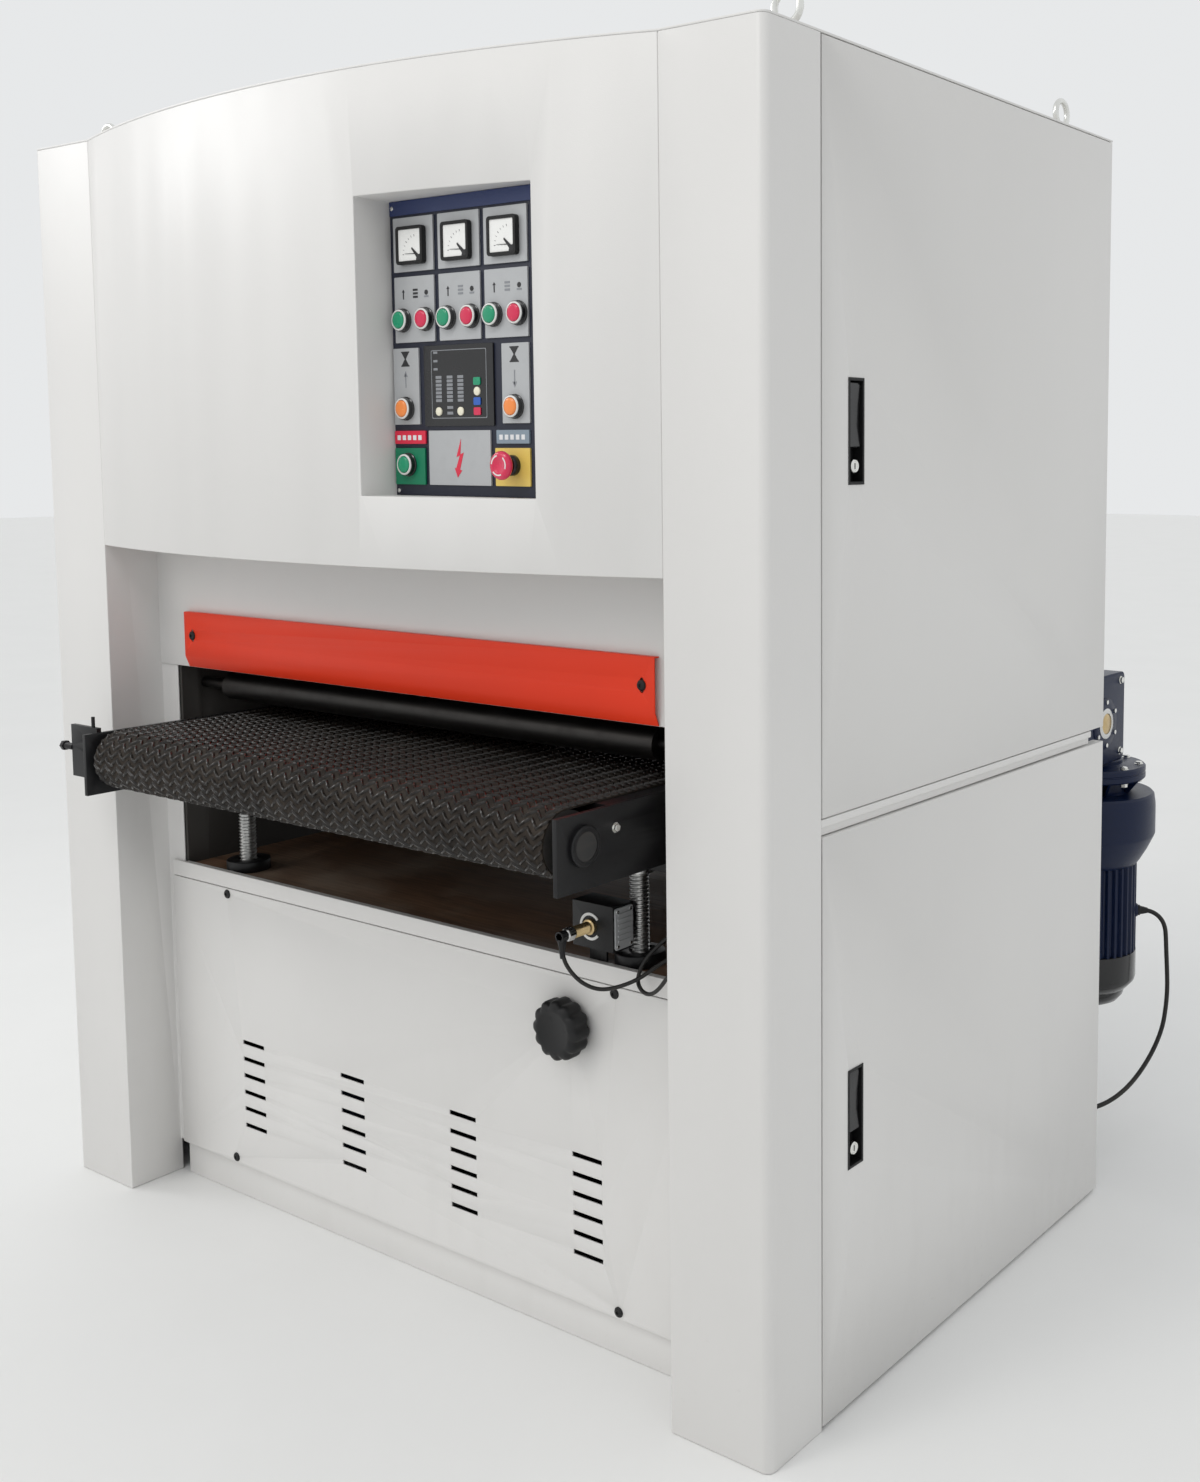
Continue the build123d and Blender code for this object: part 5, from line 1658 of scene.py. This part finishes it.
# ---- sanding heads and drives -----------------------------------------------------
class Heads:
    """The two sanding heads inside, their motors and their belts."""

    def build(self) -> None:
        """Dresses the heads."""
        eased("platen", IRON, Slot.IRON, ease=0.001)
        eased("bearing_housings", IRON, Slot.IRON, ease=0.002)
        eased("main_motors", NAVY, Slot.NAVY, ease=0.003)
        finishes = {
            "contact_drum": DRUM, "contact_roller": DRUM, "front_tension_roller": STEEL,
            "rear_tension_roller": STEEL,
            "front_roller": DRUM, "rear_roller": DRUM, "abrasive_belts": CLOTH,
            "drive_belts": DRIVE,
            "front_motor_pulley": STEEL, "rear_motor_pulley": STEEL,
        }
        for node, finish in finishes.items():
            dress(node, finish)


# ---- limit switch and hand knob ---------------------------------------------------
@dataclass
class LimitSwitch:
    """The thickness stop's switch, low in the feed opening, with its glands."""

    right: float = 0.486
    front: float = -0.425
    back: float = -0.381
    low: float = 0.634
    high: float = 0.702
    stem: Pair = (0.442, 0.667)
    tip: float = -0.490
    glands: Sequence[tuple[Triple, Triple]] = (
        ((0.600, -0.386, 0.635), (-1.0, 0.0, 0.0)), ((0.600, -0.378, 0.672), (-1.0, 0.0, 0.0)),
        ((0.653, -0.445, 0.645), (-1.0, 0.0, 0.0)),
    )

    def build(self) -> None:
        """Builds the switch and the glands of its cables."""
        eased("limit_switch", PLASTIC, Slot.PLASTIC, ease=0.002)
        self.side_plate()
        self.face_ring()
        self.plunger()
        self.cable_glands()

    def side_plate(self) -> None:
        """The ribbed pale lid on the right."""
        lid = Form()
        x = self.right
        lid.prism(
            rounded(
                (self.front + 0.003, self.low + 0.003), (self.back - 0.003, self.high - 0.003),
                0.004
            ),
            Axis.X, x - 0.001, x + 0.0022
        )
        for n in range(6):
            z = self.low + 0.014 + 0.008 * n
            lid.box((x + 0.002, self.front + 0.008, z), (x + 0.0038, self.back - 0.008, z + 0.003))
        lid.piece("switch_lid", FOIL, Slot.ZINC, ease=0.0005)
        screws = Form()
        for y in (self.front + 0.008, self.back - 0.008):
            for z in (self.low + 0.008, self.high - 0.008):
                head = [
                    (0.0, x + 0.0022), (0.0026, x + 0.0022), (0.0024, x + 0.0034), (0.0, x + 0.004)
                ]
                screws.lathe(head, Axis.X, (y, z), 16)
        screws.piece("switch_screws", ZINC, Slot.ZINC)

    def face_ring(self) -> None:
        """A pale open ring round the plunger's stem."""
        outline = bent_band(
            self.stem, 0.0205, 0.0165, [math.radians(40 + 8 * n) for n in range(36)]
        )
        Form().prism(outline, Axis.Y, self.front, self.front - 0.0012).piece(
            "switch_ring", RING, Slot.ZINC
        )

    def plunger(self) -> None:
        """The brass stem in its nut, and the bright end with the cable's elbow."""
        f = self.front
        brass = [
            (0.0, f + 0.004), (0.0118, f + 0.004), (0.0118, f - 0.005), (0.0105, f - 0.006),
            (0.0088, f - 0.0065)
        ]
        for n in range(13):
            y = f - 0.009 - 0.0022 * n
            brass += [(0.0088, y), (0.0080, y - 0.0011)]
        brass += [(0.0083, f - 0.040), (0.0083, f - 0.0415), (0.0, f - 0.0415)]
        Form().lathe(brass, Axis.Y, self.stem, 36).piece(
            "switch_stem", BRASS, Slot.ZINC, crease=40.0
        )
        t = self.tip
        chrome = [
            (0.0, f - 0.039), (0.0104, f - 0.039), (0.0104, f - 0.051), (0.0092, f - 0.0525),
            (0.0082, f - 0.053)
        ]
        chrome += [(0.0082, t + 0.0015), (0.0070, t), (0.0, t)]
        Form().lathe(chrome, Axis.Y, self.stem, 6).piece(
            "switch_nut", SHAFT, Slot.ZINC, ease=0.0006
        )
        x, z = self.stem
        elbow = [
            (0.0, z - 0.004), (0.0066, z - 0.004), (0.0066, z - 0.0095), (0.0055, z - 0.0115),
            (0.0042, z - 0.024), (0.0033, z - 0.032), (0.0029, z - 0.0325)
        ]
        Form().lathe(elbow, Axis.Z, (x, t + 0.006), 24).piece(
            "switch_elbow", PLASTIC, Slot.PLASTIC, crease=45.0
        )

    def cable_glands(self) -> None:
        """Ribbed nuts with tapered ends, on the frame and on the pillar."""
        form = Form()
        for at, way in self.glands:
            nut = [
                (0.0, -0.002), (0.0092, -0.002), (0.0092, 0.0028), (0.0078, 0.0034),
                (0.0078, 0.0072), (0.0060, 0.0092), (0.0048, 0.016), (0.0036, 0.023),
                (0.0030, 0.0235)
            ]
            form.turned(
                Vector(at), Vector(way), nut, 24, lambda a, r,
                s: r * (1.0 - 0.05 * (r > 0.0065 and math.cos(12 * a + 0.2) < 0))
            )
        form.piece("cable_glands", PLASTIC, Slot.PLASTIC, crease=40.0)


@dataclass
class HandKnob:
    """The lobed knob on the lower cover."""

    centre: Pair = (0.380, 0.500)
    radius: float = 0.0465
    back: float = -0.407
    front: float = -0.445
    lobes: int = 12
    hollow: float = 0.0042

    def build(self) -> None:
        """Builds the knob and its shaft."""
        b, f, r = self.back, self.front, self.radius
        profile = [
            (0.0, b), (0.020, b), (0.034, b - 0.001), (0.0435, b - 0.004), (r - 0.0005, b - 0.008),
            (r, b - 0.012)
        ]
        profile += [
            (r, f + 0.010), (r - 0.0012, f + 0.0055), (r - 0.005, f + 0.002), (r - 0.011, f),
            (0.030, f + 0.0002)
        ]
        profile += [(0.0275, f + 0.0018), (0.0, f + 0.0022)]
        Form().lathe(profile, Axis.Y, self.centre, 168, self.grip).piece(
            "knob_grip", PLASTIC, Slot.PLASTIC, "hand_knob", stands_for=("hand_knob",), crease=50.0
        )
        shaft = Form().lathe(
            [(0.0, -0.330), (0.0078, -0.330), (0.008, -0.331), (0.008, b), (0.0, b)], Axis.Y,
            self.centre, 32
        )
        shaft.piece("knob_shaft", STEEL, Slot.STEEL, "hand_knob")

    def grip(self, angle: float, radius: float, along: float) -> float:
        """The radius of the grip, hollowed between its lobes."""
        if radius < 0.033:
            return radius
        share = (0.5 - 0.5 * math.cos(self.lobes * angle)) ** 1.6
        return radius - self.hollow * share * min(1.0, (radius - 0.032) / 0.009)


# ---- cables -----------------------------------------------------------------------
@dataclass
class Cables:
    """The free cables: two at the limit switch and one to the gearmotor."""

    switch: Sequence[Triple] = field(default_factory=lambda: metres(
        (442, -484, 655), (442, -484, 637), (452, -480, 617), (471, -474, 600), (495, -464, 592),
        (519, -448, 597),
        (540, -428, 608), (553, -410, 622), (565, -394, 632), (579, -386, 635), (593, -386, 635),
    ))
    link: Sequence[Triple] = field(default_factory=lambda: metres(
        (593, -378, 672), (578, -378, 672), (560, -382, 664), (544, -392, 648), (533, -404, 632),
        (528, -414, 616),
        (530, -423, 601), (541, -428, 591), (557, -431, 588), (573, -434, 595), (589, -438, 609),
        (606, -443, 628),
        (626, -445, 645), (646, -445, 645),
    ))
    motor: Sequence[Triple] = field(default_factory=lambda: metres(
        (768, 827.8, 440), (774, 830.6, 440), (785.5, 836, 435.9), (795.2, 840.5, 428.1),
        (802.3, 843.8, 417.3),
        (806.1, 845.6, 404.7), (807.4, 846.2, 391.5), (808.2, 846.6, 375), (809.2, 847.1, 352),
        (811, 847.6, 320),
        (813, 846.5, 283), (813.5, 840, 246), (813, 825, 205), (808, 788, 165), (799, 740, 132),
        (789, 690, 112),
        (772, 640, 100), (744, 600, 96), (706, 574, 99), (662, 565, 112), (624, 571, 142),
        (598, 583, 188),
        (586, 591, 242), (581, 596, 325), (583, 588, 432), (589, 592, 545), (585, 590, 655),
        (585, 590, 774),
    ))

    thin: float = 0.006
    thick: float = 0.009

    def build(self) -> None:
        """Lays the three cables."""
        cable("switch_lead", self.switch, self.thin, "machine", "switch_cable")
        cable("link_lead", self.link, self.thin, "machine", "switch_cable")
        cable("motor_lead", self.motor, self.thick, "table", "motor_cable")
        collar = Form().turned(
            Vector((0.585, 0.590, 0.776)), Vector((0.0, 0.0, -1.0)),
            [
                (0.0, 0.0), (0.0105, 0.0), (0.0105, 0.007), (0.0085, 0.009), (0.0066, 0.018),
                (0.0051, 0.025), (0.0045, 0.0252)
            ],
            28,
        )
        collar.piece("table_gland", PLASTIC, Slot.PLASTIC, "table", crease=45.0)


# ---- studio -----------------------------------------------------------------------
@dataclass
class Studio:
    """A pale floor, soft lights and the camera."""

    place: Triple = (2.033, -2.0888, 1.3611)
    turn: Triple = (90.0 - 5.354, -0.067, 34.03)
    lens: float = 38.50
    sensor: float = 36.0
    far: float = 200.0
    floor_half: float = 30.0
    floor_drop: float = 0.0005
    shift: Pair = (-0.17234, -0.0953)
    sky: float = 0.82
    sun: float = 0.3
    lamps: float = 12.0

    def build(self) -> None:
        """Sets everything up."""
        self.camera()
        self.floor()
        self.lights()
        bpy.context.scene.view_settings.view_transform = "Standard"

    def camera(self) -> None:
        """The camera, level apart from its slight look down."""
        data = bpy.data.cameras.new("camera")
        data.lens, data.sensor_width = self.lens, self.sensor
        data.shift_x, data.shift_y = self.shift
        data.clip_end = self.far
        made = bpy.data.objects.new("camera", data)
        made.location = self.place
        made.rotation_euler = tuple(math.radians(a) for a in self.turn)
        bpy.context.scene.collection.objects.link(made)
        bpy.context.scene.camera = made

    def floor(self) -> None:
        """One wide pale floor."""
        mesh = bpy.data.meshes.new("studio_floor")
        ground = bmesh.new()
        bmesh.ops.create_grid(ground, x_segments=8, y_segments=8, size=self.floor_half)
        ground.to_mesh(mesh)
        ground.free()
        made = bpy.data.objects.new("studio_floor", mesh)
        made.location.z = -self.floor_drop
        bpy.context.scene.collection.objects.link(made)
        mesh.materials.append(material(FLOOR))

    def lights(self) -> None:
        """A near-white sky, a soft sun from the front left and two lamps for the gloss."""
        world = bpy.data.worlds.new("soft sky")
        world.use_nodes = True
        world.node_tree.nodes["Background"].inputs["Color"].default_value = (0.975, 0.99, 1.0, 1.0)
        world.node_tree.nodes["Background"].inputs["Strength"].default_value = self.sky
        bpy.context.scene.world = world
        data = bpy.data.lights.new("soft sun", "SUN")
        data.energy, data.angle, data.color = self.sun, math.radians(28), (1.0, 0.95, 0.88)
        made = bpy.data.objects.new("soft sun", data)
        made.rotation_euler = Vector((0.42, 0.78, -0.52)).to_track_quat("-Z", "Y").to_euler()
        bpy.context.scene.collection.objects.link(made)
        for name, place, size in (
            ("left window", (-2.6, -1.3, 2.8), 0.9), ("top strip", (0.2, -2.1, 3.4), 0.8)
        ):
            lamp = bpy.data.lights.new(name, "AREA")
            lamp.shape, lamp.size, lamp.energy = "DISK", size, self.lamps
            made = bpy.data.objects.new(name, lamp)
            made.location = place
            made.rotation_euler = (
                Vector((0.0, -0.6, 0.85)) - Vector(place)
            ).to_track_quat("-Z", "Y").to_euler()
            bpy.context.scene.collection.objects.link(made)


def main() -> None:
    """Builds the sander and its studio."""
    logging.basicConfig(level=logging.INFO, format="%(name)s: %(message)s")
    assemblies = (
        Studio(), Cables(), Casing(), Door("upper", 1.388), Door("lower", 0.426), ControlPanel(),
        FeedTable(),
        GearMotor(), Heads(), LimitSwitch(), HandKnob(),
    )
    for assembly in assemblies:
        assembly.build()
        log.info("%s done", type(assembly).__name__)


if __name__ == "__main__":
    main()
